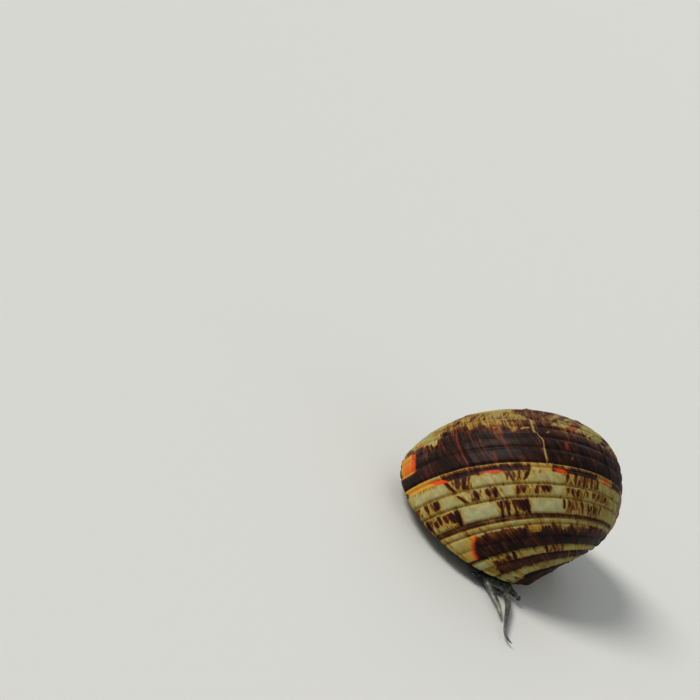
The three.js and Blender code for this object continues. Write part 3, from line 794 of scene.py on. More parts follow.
# Chalky grey-green fields in the middle of the pale ribs
chalkFields = (
    (-0.325, -0.05, 100.8, 107.6, 0.8), (-0.745, -0.54, 100.8, 107.4, 0.8),
    (-1.2, -1.01, 98.5, 107.0, 0.7), (-0.31, -0.215, 110.0, 117.6, 1.0),
    (-0.47, -0.41, 110.5, 117.0, 0.5), (-0.77, -0.67, 110.5, 117.5, 0.6),
    (-1.18, -1.09, 110.0, 117.5, 0.8), (-0.565, -0.29, 120.8, 130.8, 0.95),
    (-1.12, -0.85, 120.8, 130.5, 0.9), (-0.16, -0.05, 139.6, 144.0, 0.6),
    (-0.12, 0.0, 160.6, 167.0, 0.8), (-0.2, -0.03, 179.5, 187.0, 0.6),
    (-0.34, -0.12, 45.0, 56.0, 0.8), (-1.02, -0.92, 44.0, 52.0, 0.7), (-0.7, -0.5, 161, 166, 0.25),
)
# Bright marks, amber ones and red ones: first their strength, then as for the single marks
amberMarks = (
    (0.9, 0.3, -0.165, -0.03, 65, 84), (0.9, 0.15, -0.27, -0.03, 92.6, 98.6, -0.01),
    (0.25, 0.12, -1.19, -1.01, 93.4, 99.0, 0.007), (0.6, 0.2, -1.9, -1.7, 94.0, 99.0, 0.01),
    (0.3, 0.25, -0.79, -0.71, 139.6, 146, 0.008), (0.6, 0.25, -0.27, -0.2, 56.5, 61, -0.008),
)
redMarks = (
    (1.0, 0.4, -0.19, -0.145, 67, 83, 0.002), (0.7, 0.36, -0.15, -0.06, 73, 82, 0, (0.035, 4)),
    (1.0, 0.3, -0.345, -0.25, 94.8, 99.8, -0.012), (0.9, 0.4, -1.31, -1.21, 95.2, 99.6),
    (0.85, 0.4, -0.77, -0.66, 97.4, 99.8, -0.02), (0.6, 0.42, -0.63, -0.6, 98, 99.8),
    (0.6, 0.42, -1.9, -1.76, 94.5, 98.5), (0.6, 0.5, -1.71, -1.62, 50, 55.5, 0.012),
)
# Thin red lines along the lip as it once stood, and pale scars where it was mended
redLines = (
    {"turn": -0.60, "width": 0.006, "angles": (56, 93), "lean": 0.001, "strength": 0.75},
    {"turn": -0.905, "width": 0.006, "angles": (58, 74), "lean": 0.001, "strength": 0.5},
    {"turn": -0.94, "width": 0.006, "angles": (62, 90), "lean": 0.001, "strength": 0.35},
    {"turn": -0.81, "width": 0.008, "angles": (84, 92), "lean": 0.004, "strength": 0.5},
    {"turn": -1.48, "width": 0.014, "angles": (73, 80), "lean": 0.006, "strength": 0.7},
    {"turn": -0.46, "width": 0.008, "angles": (70, 78), "lean": 0.0, "strength": 0.5},
    {"turn": -0.70, "width": 0.006, "angles": (58, 66), "lean": 0.0, "strength": 0.7},
)
scarLines = (
    {"angles": (46, 52, 56, 62, 67, 70, 75, 79, 86, 93),
     "turns": (-1.2, -1.245, -1.245, -1.23, -1.215, -1.24, -1.25, -1.235, -1.20, -1.17), "width": 0.010},
    {"angles": (36, 64), "turns": (-1.78, -2.0), "bow": -0.06, "width": 0.016},
)
# The pale block low at the lip: where its slanting red edge runs
lowBlock = {"angles": (138.5, 143, 145, 150, 154, 157.5),
            "turns": (-0.29, -0.235, -0.20, -0.15, -0.12, -0.09)}


def toward(shade, target, amount):
    return shade + (target - shade) * amount


def markShape(turn, angle, seed, start, end, low, high, lean=0.0, soft=(0.009, 0.6)):
    waver = 0.006 * noise(angle * 0.6, turn * 4, seed)
    place = turn - lean * (angle - (low + high) / 2) + waver
    across = angle + 0.35 * noise(turn * 30, 0.5, seed + 1)
    return band(place, start, end, soft[0]) * band(across, low, high, soft[1])


# A stroke is widest at its middle and ends in points; its halo is the golden rim round it
def strokeShape(stroke, turn, angle):
    lowTurn, low, highTurn, high, width = stroke[:5]
    along = np.clip((angle - low) / (high - low), -0.2, 1.2)
    off = np.abs(turn - lowTurn - (highTurn - lowTurn) * along)
    off = off / (width * (1.3 - 0.9 * np.abs(along - 0.45)))
    core = (1 - smoothstep(0.5, 1.4, off)) * band(angle, low, high, 0.5)
    halo = (1 - smoothstep(0.9, 3.0, off)) * band(angle, low - 0.6, high + 0.6, 0.9)
    return core, halo


def teeth(turn, pitch, seed):
    return 0.5 + 0.5 * noise(turn / pitch, 0.5, seed)


# On the half that the marks above don't reach, loops of the same marks with seeded places
def behindPigment(turn, angle, shade, chalk):
    rows = ((99, 108.6), (109, 118.8), (119.5, 131.5), (160.2, 167), (178.5, 186))
    for i, (low, high) in enumerate(rows):
        place = turn - 0.007 * (angle - low)
        group = smoothstep(-0.1, 0.3, noise(place / 0.17, 0.5, 51 + i))
        row = band(angle, low + 1, high - 1.5, 0.7)
        dash = smoothstep(0.05, 0.4, noise(place / 0.021, 0.5, 41 + i))
        shade = toward(toward(shade, 0.24, group * row * 0.6), 0.78, dash * group * row * 0.9)
        chalk = toward(chalk, 0.85, (1 - group) * row)
    for i, (low, high) in enumerate(((94, 99.5), (139, 150))):
        gap = smoothstep(0.35, 0.42, noise((turn - 0.008 * (angle - low)) / 0.19, 0.5, 61 + i))
        shade = toward(shade, 0.2, gap * band(angle, low, high, 0.8))
    return shade, chalk


# Bands, fringes and the shoulder's flames, before any single mark
def bandPigment(turn, angle):
    shade = 0.08 + 0.05 * noise(turn * 7, angle * 0.12, 30) + 0.04 * noise(turn * 60, angle * 0.1, 31)
    lean = np.interp(turn, (-2.0, -1.2, -0.9, 0.0), (0.02, 0.012, -0.01, -0.02))
    along = turn - lean * (angle - 50)
    hairs = smoothstep(0.45, 0.8, noise(turn / 0.014 + 0.02 * angle, angle * 0.035, 78))
    shade = toward(shade, 0.3, hairs * 0.45)
    flame = noise(along * 5.5, angle * 0.03, 32) + 0.6 * noise(along * 26, angle * 0.05, 33)
    brown = smoothstep(-0.3, 0.45, flame + 0.02 * (angle - 46))
    shade = toward(shade, 0.58, brown * (1 - smoothstep(58, 64, angle)) * 0.9)
    edge = np.interp(turn, upperEdge["turns"], upperEdge["angles"], left=57)
    for i, stripe in enumerate(darkBands):
        low, high = stripe["angles"]
        start = edge + 4 if i == 0 else low
        lowRag, topRag = stripe["rag"]
        ragged = start + lowRag * (teeth(turn - 0.002 * angle, 0.017, 50 + i) - 0.5)
        ragged = ragged + 0.5 * lowRag * noise(turn / 0.07, 0.5, 55 + i)
        top = high + topRag * noise(turn / 0.05, 0.5, 60 + i)
        inside = smoothstep(ragged - 0.9, ragged + 1.0, angle)
        inside = inside * (1 - smoothstep(top - 0.7, top + 0.5, angle))
        redder = stripe["red"] * (1 - smoothstep(start, start + stripe["redTo"], angle))
        redder = redder * (0.7 + 0.6 * noise(turn / 0.02, angle * 0.06, 65 + i))
        depth = stripe["shade"] + 0.15 * noise(turn / 0.012, angle * 0.09, 76) - 0.13
        depth = depth + 0.12 * noise(turn / 0.09, angle * 0.2, 77)
        shade = toward(shade, depth - redder, inside)
    # Fine golden streaks stand in the upper fringe of the first band
    fringe = band(angle, edge - 1, edge + 10, 2.5) * smoothstep(-2.0, -0.9, turn)
    streak = smoothstep(0.15, 0.5, noise(turn / 0.010, angle * 0.07, 74))
    shade = toward(shade, 0.27, fringe * streak * 0.75)
    # The double groove and its narrow golden rib
    dashed = 0.66 + 0.2 * noise(turn / 0.025, 0.5, 70)
    shade = toward(shade, dashed, band(angle, 131.8, 134.8, 0.7) * 0.9)
    golden = 0.16 + 0.1 * noise(turn / 0.012, 0.5, 71)
    shade = toward(shade, golden, band(angle, 135.9, 139.3, 0.5) * 0.9)
    return toward(shade, 0.42 + 0.45 * teeth(turn, 0.02, 72), band(angle, 93.0, 94.4, 0.4) * 0.7)


# The base is plain, but near the whorl it takes on the whorl's own markings
def spreadOverBase(layers, points, onBase, turn):
    rest = 1 - np.clip(onBase - 1, 0, 1)
    bare = np.flatnonzero((onBase > 0.5) & (rest > 0))
    low = points[:, 2] < base["rise"] + stance["lift"]
    whorl = np.flatnonzero((onBase < 0.5) & low & (turn < -2.2))
    tree = KDTree(len(whorl))
    for i, point in enumerate(points[whorl]):
        tree.insert(point, i)
    tree.balance()
    found = [tree.find(point) for point in points[bare]]
    nearest, distance = whorl[[hit[1] for hit in found]], np.array([hit[2] for hit in found])
    near = 1 - smoothstep(0.1, base["fadeOver"], distance + 0.5 * noise(turn[bare] * 9, distance, 470))
    # The plain base takes a middle amount of the olive dulling and painted shade
    plain = {"pigment": 0.12 + 0.1 * noise(turn[bare] * 8, distance * 0.4, 471), "filmAndShade": 0.45}
    for name, values in layers.items():
        covered = toward(plain.get(name, 0.0), values[nearest], near)
        values[bare] = toward(values[bare], covered, rest[bare])


# Stretches crowded with fine strokes, and short ticks along the grooves between the pale ribs
def addCombs(turn, angle, shade):
    lean = 0.007 * (angle - 112)
    comb = noise((turn - lean) / 0.0085, angle * 0.12, 90)
    comb = comb + 0.5 * noise((turn - lean) / 0.03, angle * 0.3, 91)
    for i, place in enumerate(combs):
        inside = markShape(turn, angle, 200 + i, *place, lean=0.006)
        shade = toward(shade, 0.24, inside * 0.75)
        shade = toward(shade, 0.6, inside * smoothstep(0.1, 0.75, comb) * 0.8)
    tick = smoothstep(0.05, 0.6, noise((turn - lean) / 0.008, 0.5, 92))
    for middle in (99.6, 108.7, 118.9, 131.4, 160.2, 178.2):
        near = np.exp(-np.abs((angle - middle) / 1.5) ** 2)
        shade = np.where(shade < 0.5, toward(shade, 0.46, near * tick * 0.75), shade)
    return shade


# All the golden rims come first, so that no rim covers another stroke
def addStrokes(turn, angle, shade):
    cores = []
    for stroke in strokes:
        core, halo = strokeShape(stroke, turn, angle)
        shade = np.where(shade < 0.26, toward(shade, 0.26, halo * 0.8), shade)
        cores.append((core, stroke[5]))
    for core, strength in cores:
        shade = np.maximum(shade, toward(shade, strength, core))
    return shade


def addChalk(turn, angle, shade, chalk):
    for i, (*place, strength) in enumerate(chalkFields):
        inside = markShape(turn, angle, 300 + i, *place, lean=0.004, soft=(0.02, 1.5))
        rim = np.clip(4 * inside * (1 - inside), 0, 1)
        shade = np.where(shade < 0.3, toward(shade, 0.17, rim * 0.5), shade)
        chalk = np.maximum(chalk, strength * inside ** 1.5)
    return shade, chalk


def addBrightMarks(turn, angle, shade):
    amber, rust = np.zeros(len(turn)), np.zeros(len(turn))
    for marks, layer, seed in ((amberMarks, amber, 360), (redMarks, rust, 400)):
        for i, (strength, target, *place) in enumerate(marks):
            inside = markShape(turn, angle, seed + i, *place) * strength
            shade = toward(shade, target, inside)
            np.maximum(layer, inside, out=layer)
    return shade, amber, rust


def addLowBlock(turn, angle, shade, amber, rust):
    edge = np.interp(angle, lowBlock["angles"], lowBlock["turns"])
    edge = edge + 0.008 * noise(angle * 0.7, 0.5, 440)
    inside = smoothstep(-0.008, 0.010, turn - edge) * band(angle, 139.8, 157.5, 0.7)
    shade = toward(shade, 0.14 + 0.1 * noise(turn / 0.03, angle * 0.3, 441), inside)
    amber = np.maximum(amber, inside * 0.85 * np.exp(-np.maximum(turn - edge, 0) / 0.055))
    redEdge = np.exp(-((turn - edge - 0.002) / 0.016) ** 2) * band(angle, 141, 157.5, 1.0)
    return toward(shade, 0.42, redEdge * 0.8), amber, np.maximum(rust, redEdge * 0.9)


def addRedLines(turn, angle, shade, rust):
    for i, line in enumerate(redLines):
        low, high = line["angles"]
        waver = 0.004 * noise(angle * 0.2, 0.5, 420 + i)
        place = turn - line["turn"] - line["lean"] * (angle - low) + waver
        inside = np.exp(-(place / line["width"]) ** 2) * band(angle, low, high, 2)
        inside = inside * line["strength"] * (0.75 + 0.35 * noise(angle * 0.35, 0.5, 430 + i))
        shade = toward(shade, 0.5, inside)
        rust = np.maximum(rust, inside * 0.6)
    return shade, rust


def addScars(turn, angle, shade, chalk):
    for line in scarLines:
        first, last = line["angles"][0], line["angles"][-1]
        bow = line.get("bow", 0) * np.sin(np.pi * np.clip((angle - first) / (last - first), 0, 1))
        middle = np.interp(angle, line["angles"], line["turns"]) + bow
        scar = np.exp(-((turn - middle) / line["width"]) ** 2) * band(angle, first, last, 0.8)
        shade, chalk = toward(shade, 0.1, scar), toward(chalk, 0.35, scar)
    return shade, chalk


# Painted shade with olive dulling: the older shell and the low front are darkened and dulled where shade
# falls on them, and the shoulder is dulled to olive more lightly
def filmAndShadeOver(turn, angle):
    filmAndShade = 0.75 * (1 - smoothstep(-1.9, -0.9, turn)) + 0.35 * (1 - smoothstep(52, 64, angle))
    filmAndShade += 0.85 * smoothstep(158, 176, angle) * (1 - smoothstep(-0.75, -0.15, turn))
    return filmAndShade * (0.75 + 0.35 * noise(turn * 3, angle * 0.09, 450)) + 0.08


# A pale callus covers the lowest part of the base
def callusOver(points, onBase, turn):
    height = points[:, 2] - stance["lift"]
    height = height + 0.4 * noise(turn * 6, height * 2, 460) + 0.15 * noise(turn * 30, height * 3, 461)
    return (onBase > 0.5) * (1 - smoothstep(-0.2, 1.7, height)) * 0.9


def paintShell(piece):
    turn, angle = getAttribute(piece, "turn"), getAttribute(piece, "lipAngle")
    points, onBase = pointsOf(piece), getAttribute(piece, "onBase")
    shade, chalk = bandPigment(turn, angle), np.zeros(len(turn))
    behindShade, behindChalk = behindPigment(turn, angle, shade, chalk)
    behind = 1 - smoothstep(-2.1, -1.95, turn)
    shade, chalk = toward(shade, behindShade, behind), toward(chalk, behindChalk, behind)
    for i, (target, *place) in enumerate(patches):
        shade = toward(shade, target, markShape(turn, angle, 80 + i, *place))
    shade = addStrokes(turn, angle, addCombs(turn, angle, shade))
    shade, chalk = addChalk(turn, angle, shade, chalk)
    shade, amber, rust = addBrightMarks(turn, angle, shade)
    shade, amber, rust = addLowBlock(turn, angle, shade, amber, rust)
    shade, rust = addRedLines(turn, angle, shade, rust)
    shade, chalk = addScars(turn, angle, shade, chalk)
    # The groove layer says where the shader paints shade into the grooves
    # The olive dulling layer also carries painted shade over the older shell and the low front
    layers = {"pigment": shade, "chalk": chalk, "amber": amber, "rust": rust,
              "filmAndShade": filmAndShadeOver(turn, angle), "groove": np.clip(grooveDepth(angle) / 0.24, 0, 1)}
    spreadOverBase(layers, points, onBase, turn)
    layers["callus"] = callusOver(points, onBase, turn)
    for name, values in layers.items():
        setAttribute(piece, name, np.clip(values, 0, 1))


shellPiece = makeShell()
paintShell(shellPiece)
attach(shellPiece, "root")
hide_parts("shell_body_whorl", "shell_spire", "shell_outer_lip")
print("shell made and painted")

# Flesh: one skin over foot, neck, mantle, head, feelers and eye stalks
sideSign = {"left": 1, "right": -1}
flesh = {"voxel": 0.09, "footEdge": 0.12, "wrinkle": 0.07, "fold": 0.10, "neckFrom": 2.05, "neckTo": 1.3}
foot = {"x": -1.06, "y": 6.22, "across": 8.95, "along": 11.15, "square": 0.92, "points": 400,
        "layers": ((0.0, 0.32), (0.06, 0.08), (0.16, 0.0), (0.42, 0.1), (0.62, 0.36), (0.9, 0.42),
                   (1.25, 0.62), (1.55, 0.8), (1.7, 1.15))}
head = {"x": 1.04, "back": 1.2, "front": -8.86, "half": 2.75, "height": 4.1, "snout": 1.72, "low": 0.3,
        "lipLine": -6.18, "slope": 2.7, "footFront": -4.6}
snout = {"z": 0.68, "half": 0.85, "deep": 0.4, "lips": 0.13}
feeler = {"root": 0.56, "tip": 0.17, "ring": 0.022, "ringPitch": 0.3, "spread": 1.45, "rise": 0.95,
          "start": -7.6,
          "left": ((2.79, -11.38, 0.95), (2.49, -14.98, 0.9), (2.24, -18.38, 0.75), (2.54, -19.78, 0.7),
                   (3.40, -20.44, 0.62)),
          "right": ((0.34, -10.58, 0.95), (1.29, -13.18, 0.85), (1.66, -15.5, 0.7))}
stalk = {"out": 1.7, "y": -7.2, "z": 0.95, "reach": 1.75, "turn": math.radians(38),
         "root": 0.58, "tip": 0.37}
eyeBall = {"left": (4.48, -8.59, 0.95), "right": (-2.40, -8.59, 0.95), "radius": 0.36}


def squared(value, power):
    return np.sign(value) * np.abs(value) ** power


def ellipseRing(x, y, z, across, along):
    angle = np.linspace(0, fullTurn, foot["points"], endpoint=False)
    return np.stack([x + across * squared(np.cos(angle), foot["square"]),
                     y + along * squared(np.sin(angle), foot["square"]), np.full(len(angle), z)], -1)


def makeFoot():
    rings = []
    for z, drawn in foot["layers"]:
        ring = ellipseRing(foot["x"], foot["y"], z, foot["across"] - drawn, foot["along"] - drawn)
        way = np.arctan2(ring[:, 1] - foot["y"], ring[:, 0] - foot["x"])
        frill = 0.5 + 0.35 * noise(way * 9, 0.5, 500) + 0.25 * noise(way * 26, 0.5, 501)
        shrink = 1 - flesh["footEdge"] * frill / foot["across"]
        ring[:, :2] = (ring[:, :2] - (foot["x"], foot["y"])) * shrink[:, None] + (foot["x"], foot["y"])
        rings.append(ring)
    return sweepMesh("foot", np.array(rings))


def makeHead():
    rings = []
    for t in np.linspace(0, 1, 90):
        y = head["back"] + (head["front"] - head["back"]) * t
        under = smoothstep(-head["lipLine"] - head["slope"], -head["lipLine"], -y)
        past = smoothstep(-head["footFront"] - 0.3, -head["footFront"] + 0.5, -y)
        nose = max(0.0, (t - 0.80) / 0.2)
        rounding = math.sqrt(1 - (0.97 * nose) ** 2.4)
        low = 1.3 + (head["low"] - 1.3) * past
        top = head["height"] + (low + (head["snout"] - low) * rounding - head["height"]) * under
        half = head["half"] * (1.06 - 0.22 * t) * rounding
        angle = np.linspace(0, fullTurn, 72, endpoint=False)
        rings.append(np.stack([
            head["x"] + half * squared(np.cos(angle), 0.8), np.full(angle.shape, y),
            (top + low) / 2 + (top - low) / 2 * squared(np.sin(angle), 0.8)], -1))
    return sweepMesh("head", np.array(rings))


# A smooth way through points, evenly spaced along its length
def smoothWay(points, count=240):
    points = np.array(points, float)
    points = np.concatenate([2 * points[:1] - points[1:2], points, 2 * points[-1:] - points[-2:-1]])
    way = []
    for a, b, c, d in zip(points, points[1:], points[2:], points[3:]):
        t = np.linspace(0, 1, 60)[:, None]
        bend, twist = 2 * a - 5 * b + 4 * c - d, 3 * b - a - 3 * c + d
        way.append(0.5 * (2 * b + (c - a) * t + bend * t ** 2 + twist * t ** 3))
    way = np.concatenate(way)
    length = np.concatenate([[0], np.cumsum(np.linalg.norm(np.diff(way, axis=0), axis=1))])
    even = np.linspace(0, length[-1], count)
    return np.stack([np.interp(even, length, way[:, i]) for i in range(3)], -1), even


def makeTube(name, points, radius):
    way, length = smoothWay(points)
    along = np.gradient(way, axis=0)
    along /= np.linalg.norm(along, axis=1, keepdims=True)
    side = np.cross((0, 0, 1), along)
    side /= np.linalg.norm(side, axis=1, keepdims=True)
    rise = np.cross(along, side)
    wide = radius(length, length[-1])
    angle = np.linspace(0, fullTurn, 28, endpoint=False)
    ring = side[:, None] * np.cos(angle)[None, :, None] + rise[:, None] * np.sin(angle)[None, :, None]
    return sweepMesh(name, way[:, None] + ring * wide[:, None, None])


def feelerRadius(length, total):
    share = length / total
    phase = length / feeler["ringPitch"] * fullTurn + 1.5 * noise(length, 0.5, 510)
    rings = feeler["ring"] * np.sin(phase)
    taper = feeler["root"] + (feeler["tip"] - feeler["root"]) * share ** 0.8
    return taper * np.sqrt(1 - share ** 14) * 0.98 + rings


def feelerPoints(side):
    spread = sideSign[side] * feeler["spread"]
    root = (head["x"] + spread * 0.72, feeler["start"], feeler["rise"])
    return (root, (head["x"] + spread, feeler["start"] - 0.9, feeler["rise"])) + feeler[side]


def stalkWay(side):
    return np.array([sideSign[side] * math.cos(stalk["turn"]), -math.sin(stalk["turn"]), 0.0])


def stalkRadius(length, total):
    return np.interp(length / total, (0, 0.8, 1), (stalk["root"], stalk["tip"], stalk["tip"] * 0.9))


def makeStalk(side):
    root = np.array([head["x"] + sideSign[side] * stalk["out"], stalk["y"], stalk["z"]])
    way = stalkWay(side)
    points = [root - 0.5 * way, root + 0.4 * stalk["reach"] * way, root + stalk["reach"] * way]
    return makeTube("stalk", points, stalkRadius)


def nodeCopy(node):
    copy = bpy.data.objects.new(node + ".copy", frame["nodes"][node].data.copy())
    bpy.context.scene.collection.objects.link(copy)
    return copy


# The neck reaches down to the foot, so that nothing parts them
def neckToFoot(piece):
    points = pointsOf(piece)
    points[points[:, 2] < flesh["neckFrom"], 2] = flesh["neckTo"]
    setPoints(piece, points)
    return piece


def joinPieces(pieces, name):
    for piece in bpy.data.objects:
        piece.select_set(piece in pieces)
    bpy.context.view_layer.objects.active = pieces[0]
    bpy.ops.object.join()
    pieces[0].name = name
    return pieces[0]


def remesh(piece, voxel, smooth=2):
    modifier = piece.modifiers.new("skin", "REMESH")
    modifier.mode = "VOXEL"
    modifier.voxel_size = voxel * millimetre
    if smooth:
        modifier = piece.modifiers.new("smooth", "SMOOTH")
        modifier.iterations = smooth
        modifier.factor = 0.5
    bake(piece)
    dropSpecks(piece)
    shadeSmooth(piece)
    piece.data.materials.clear()
    return piece


# How far along a feeler each point lies, and how near it is
def alongFeelers(points):
    along, near = np.zeros(len(points)), np.zeros(len(points))
    front = np.flatnonzero(points[:, 1] < -8.2)
    for side in ("left", "right"):
        way, length = smoothWay(feelerPoints(side), 160)
        away = np.linalg.norm(points[front, None] - way[None], axis=2)
        best = away.argmin(1)
        close = 1 - smoothstep(0.55, 0.9, away[np.arange(len(front)), best])
        along[front] = np.where(close > near[front], length[best], along[front])
        near[front] = np.maximum(near[front], close)
    return along, near


def detailFlesh(piece):
    points, normals = pointsOf(piece), normalsOf(piece)
    x, y, z = points.T
    along, near = alongFeelers(points)
    way = np.arctan2(y - foot["y"], x - foot["x"])
    onFoot = (1 - smoothstep(1.75, 2.1, z)) * smoothstep(-5.2, -4.7, y)
    side = onFoot * smoothstep(0.08, 0.3, z)
    onHead = (1 - near) * (1 - smoothstep(-4.9, -4.3, y))
    # Folds run down the foot's side and across the head
    folds = noise(way * 44, z * 1.1, 520) + 0.6 * noise(way * 95, z * 2.5, 521)
    lift = flesh["fold"] * 0.5 * side * folds
    across = noise(y * 4.2 + 0.5 * noise(x * 1.3, y, 530), x * 0.7, 531) + 0.5 * noise(x * 6, y * 6, 532)
    lift += flesh["wrinkle"] * onHead * across
    sole = onFoot * (1 - smoothstep(0.02, 0.1, z))
    lift = np.where(sole > 0.5, 0, lift)
    # The mouth: a slit between two lips at the front of the snout
    front = 1 - smoothstep(-8.75, -8.3, y)
    offX, offZ = (x - head["x"]) / snout["half"], (z - snout["z"]) / 0.13
    slit = front * np.exp(-np.abs(offX) ** 4 - np.abs(offZ) ** 2)
    lips = np.exp(-((np.abs(z - snout["z"]) - 0.3) / 0.16) ** 2)
    lips = front * np.exp(-np.abs(offX / 1.15) ** 4) * lips
    moved = points + normals * (lift + snout["lips"] * lips)[:, None]
    moved[:, 1] += snout["deep"] * slit
    moved[:, 2] = np.maximum(moved[:, 2], 0)
    moved[z < 0.03, 2] = 0
    setPoints(piece, moved)
    dark = 0.35 + 0.5 * onHead + 0.35 * near - 0.3 * sole
    dark = dark + 0.25 * side * (noise(way * 30, z * 0.8, 540) - 0.1)
    setAttribute(piece, "pigment", np.clip(dark - 0.45 * lips, 0, 1))
    setAttribute(piece, "foldAlong", np.where(near > 0.3, along, np.where(onHead > 0.5, y, way * 9)))
    setAttribute(piece, "foldAcross", np.where(near > 0.3, x, np.where(onHead > 0.5, x, z)))
    return piece


softNodes = ["foot", "neck", "mantle_edge", "head"]
softNodes += [f"tentacle_{side}_{i}" for side in ("left", "right") for i in (1, 2, 3)]
softNodes += [f"eye_stalk_{side}" for side in ("left", "right")]


def makeFlesh():
    own = [makeFoot(), makeHead()]
    own += [makeTube("feeler", feelerPoints(side), feelerRadius) for side in ("left", "right")]
    own += [makeStalk(side) for side in ("left", "right")]
    for piece in own:
        piece.data.transform(Matrix.Scale(millimetre, 4))
    whole = joinPieces(own + [neckToFoot(nodeCopy("neck")), nodeCopy("mantle_edge")], "flesh")
    return detailFlesh(remesh(whole, flesh["voxel"]))


skin = {
    "pale": (0.34, 0.33, 0.24), "grey": (0.13, 0.135, 0.11), "dark": (0.022, 0.022, 0.019),
    "roughness": 0.34, "coat": 0.3, "coatRoughness": 0.15,
}


def makeSkinMaterial():
    material, tree, shader = newMaterial("skinSurface")
    pigment = attributeValue(tree, "pigment")
    along, across = attributeValue(tree, "foldAlong"), attributeValue(tree, "foldAcross")
    lines = streakMask(tree, along, across, 4.5, 0.8)
    mottle = grainMask(tree, 0.55, 1.6)
    flecks = grainMask(tree, 0.16, 1.2)
    mixed = linear(tree, lines, 0.55, calculate(tree, "MULTIPLY", mottle, 0.45))
    shade = calculate(tree, "ADD", pigment, centred(tree, mixed, 1.5))
    speck = centred(tree, flecks, 0.35)
    colour = ramp(tree, calculate(tree, "ADD", shade, speck, clamp=True), (
        (0.05, skin["pale"]), (0.5, skin["grey"]), (0.92, skin["dark"])))
    linkFinish(tree, shader, colour, linear(tree, flecks, 0.25, skin["roughness"] - 0.1))
    shader.inputs["Coat Weight"].default_value = skin["coat"]
    shader.inputs["Coat Roughness"].default_value = skin["coatRoughness"]
    linkBump(tree, shader, calculate(tree, "ADD", flecks, mottle), 0.04, 0.7)
    return material


fleshPiece = makeFlesh()
fleshPiece.data.materials.append(makeSkinMaterial())
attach(fleshPiece, "root")
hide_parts(*softNodes)
print("flesh made", len(fleshPiece.data.polygons))


# Eyes: dark glossy beads with a paler ring where the stalk holds them
eyeFinish = {
    "colours": ((0.3, (0.004, 0.004, 0.005)), (0.6, (0.03, 0.022, 0.012)), (0.9, (0.16, 0.13, 0.07))),
    "roughness": 0.08, "coat": 0.8,
}


def makeEyeMaterial():
    material, tree, shader = newMaterial("eyeSurface")
    rim = attributeValue(tree, "rim")
    speckle = grainMask(tree, 0.12, 1.0)
    shade = calculate(tree, "ADD", rim, centred(tree, speckle, 0.3), clamp=True)
    rough = linear(tree, rim, 0.25, eyeFinish["roughness"])
    linkFinish(tree, shader, ramp(tree, shade, eyeFinish["colours"]), rough)
    shader.inputs["Coat Weight"].default_value = eyeFinish["coat"]
    linkBump(tree, shader, speckle, 0.01, 0.4)
    return material


def makeEye(side, material):
    centre = np.array(eyeBall[side])
    bpy.ops.mesh.primitive_uv_sphere_add(segments=48, ring_count=32, radius=1)
    piece = bpy.context.object
    piece.name = "eyeBead." + side
    unit = np.array([vertex.co for vertex in piece.data.vertices])
    facing = unit @ stalkWay(side)
    radius = eyeBall["radius"] * (1 - 0.06 * (1 - smoothstep(-0.4, 0.1, facing)))
    setPoints(piece, centre + unit * radius[:, None])
    setAttribute(piece, "rim", 1 - smoothstep(-0.25, 0.25, facing))
    shadeSmooth(piece)
    piece.data.materials.append(material)
    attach(piece, "root")
    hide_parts("eye_" + side)


eyeMaterial = makeEyeMaterial()
for side in ("left", "right"):
    makeEye(side, eyeMaterial)
print("eyes made")

# The operculum: a thick chalky plate, grained, with curved lines of growth
plate = {
    "voxel": 0.08, "grain": 0.035, "line": 0.05, "linePitch": 0.75, "nucleus": (-4.2, 8.6),
    "colours": ((0.1, (0.36, 0.34, 0.25)), (0.55, (0.22, 0.19, 0.12)), (0.9, (0.09, 0.05, 0.025))),
    "roughness": 0.4,
}


def makePlate():
    piece = remesh(nodeCopy("operculum"), plate["voxel"], 6)
    piece.name = "operculumPlate"
    points, normals = pointsOf(piece), normalsOf(piece)
    x, y = points[:, 0], points[:, 1]
    away = np.hypot(x - plate["nucleus"][0], y - plate["nucleus"][1])
    lines = np.sin(away / plate["linePitch"] * fullTurn + noise(x, y, 600))
    pebbles = noise(x * 5, y * 5, 601) + 0.5 * noise(x * 11, y * 11, 602)
    lift = plate["line"] * lines + plate["grain"] * pebbles - plate["line"] - plate["grain"]
    setPoints(piece, points + normals * lift[:, None])
    setAttribute(piece, "pigment", np.clip(0.45 + 0.25 * lines + 0.05 * away, 0, 1))
    return piece


def makePlateMaterial():
    material, tree, shader = newMaterial("plateSurface")
    pebbles = grainMask(tree, 0.25, 1.3)
    mottle = grainMask(tree, 1.4, 1.3)
    pigment = attributeValue(tree, "pigment")
    shade = calculate(tree, "ADD", pigment, centred(tree, mottle, 0.8), clamp=True)
    rough = linear(tree, pebbles, 0.25, plate["roughness"])
    linkFinish(tree, shader, ramp(tree, shade, plate["colours"]), rough)
    linkBump(tree, shader, pebbles, 0.04, 0.8)
    return material


platePiece = makePlate()
platePiece.data.materials.append(makePlateMaterial())
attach(platePiece, "root")
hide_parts("operculum")
print("operculum made")

# The deck: a smooth callus with small grains on its face
callus = {"voxel": 0.1, "swell": 0.05, "grain": 0.03}


def makeDeck():
    piece = remesh(nodeCopy("columellar_deck"), callus["voxel"], 8)
    piece.name = "callusDeck"
    points, normals = pointsOf(piece), normalsOf(piece)
    x, y = points[:, 0], points[:, 1]
    grains = smoothstep(0.35, 0.8, noise(x * 2.6, y * 2.6, 610)) * callus["grain"]
    lift = callus["swell"] * noise(x * 0.5, y * 0.5, 611) + grains - callus["swell"] - callus["grain"]
    setPoints(piece, points + normals * lift[:, None])
    return piece


deckPiece = makeDeck()
deckPiece.data.materials.append(shellMaterials[1])
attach(deckPiece, "root")
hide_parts("columellar_deck")
print("deck made")

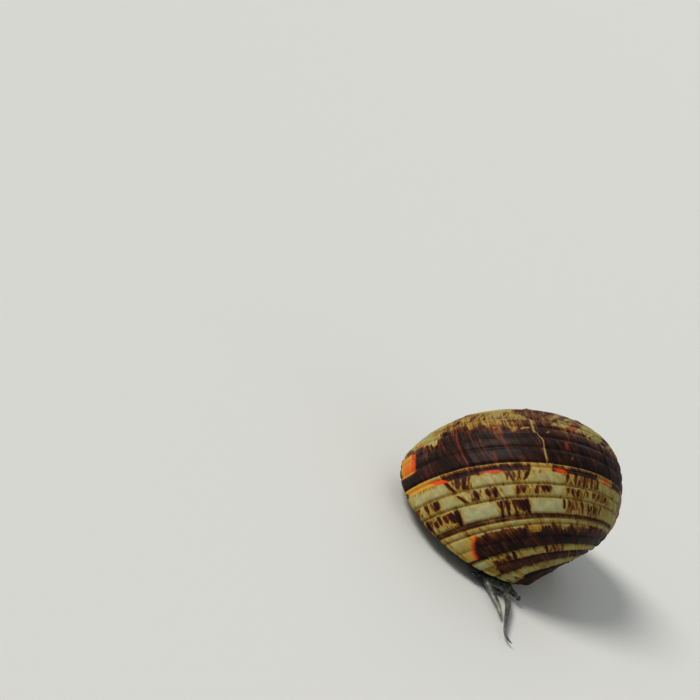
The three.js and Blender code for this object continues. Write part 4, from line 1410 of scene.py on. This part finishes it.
# Floor, lights and camera
# The camera looks along +Y turned right by its heading, dips, and is rolled about its own axis
view = {"place": (-57.9, -195.4, 91.4), "heading": 7.9, "dip": 20.55, "roll": 31.0, "fieldOfView": 24.6}


stageLook = {"floorSize": 30, "floor": (0.62, 0.62, 0.6, 1), "roughness": 0.8,
             "room": (0.75, 0.78, 0.8, 1), "roomStrength": 0.45, "gamma": 0.86, "exposure": 0.25}
# The lights are suns, so their places in metres only say where they shine from
lights = {
    "key": {"place": (-0.32, 0.04, 0.36), "softness": 24, "strength": 2.2, "colour": (1.0, 0.97, 0.91)},
    "fill": {"place": (0.3, -0.35, 0.2), "softness": 50, "strength": 0.25, "colour": (0.92, 0.96, 1.0)},
    "rim": {"place": (0.1, 0.4, 0.3), "softness": 35, "strength": 0.4, "colour": (1.0, 1.0, 1.0)},
}


def makeFloor():
    bpy.ops.mesh.primitive_plane_add(size=stageLook["floorSize"], location=(0, 0, 0))
    floor = bpy.context.object
    floor.name = "floor"
    material, shader = newMaterial("paleFloor")[::2]
    shader.inputs["Base Color"].default_value = stageLook["floor"]
    shader.inputs["Roughness"].default_value = stageLook["roughness"]
    floor.data.materials.append(material)


def makeLight(name, place, softness, strength, colour):
    lamp = bpy.data.lights.new(name, "SUN")
    lamp.angle, lamp.energy, lamp.color = math.radians(softness), strength, colour
    piece = bpy.data.objects.new(name, lamp)
    piece.location = place
    aim = Vector((0, 0, 10 * millimetre)) - Vector(place)
    piece.rotation_euler = aim.to_track_quat("-Z", "Y").to_euler()
    bpy.context.scene.collection.objects.link(piece)


def makeCamera():
    lens = bpy.data.cameras.new("camera")
    lens.sensor_width = 36
    lens.angle = math.radians(view["fieldOfView"])
    lens.clip_start = 0.005
    lens.clip_end = 20
    camera = bpy.data.objects.new("camera", lens)
    heading, dip, roll = (math.radians(view[name]) for name in ("heading", "dip", "roll"))
    aim = Matrix.Rotation(-heading, 4, "Z") @ Matrix.Rotation(math.pi / 2 - dip, 4, "X")
    aim = aim @ Matrix.Rotation(roll, 4, "Z")
    camera.matrix_world = Matrix.Translation(Vector(view["place"]) * millimetre) @ aim
    bpy.context.scene.collection.objects.link(camera)
    bpy.context.scene.camera = camera


def makeRoom():
    world = bpy.data.worlds.new("room")
    world.use_nodes = True
    background = world.node_tree.nodes["Background"]
    background.inputs["Color"].default_value = stageLook["room"]
    background.inputs["Strength"].default_value = stageLook["roomStrength"]
    bpy.context.scene.world = world
    picture = bpy.context.scene.view_settings
    picture.view_transform = "Standard"
    picture.gamma, picture.exposure = stageLook["gamma"], stageLook["exposure"]


makeFloor()
for name, light in lights.items():
    makeLight(name, **light)
makeRoom()
makeCamera()
print("stage, lights and camera set")
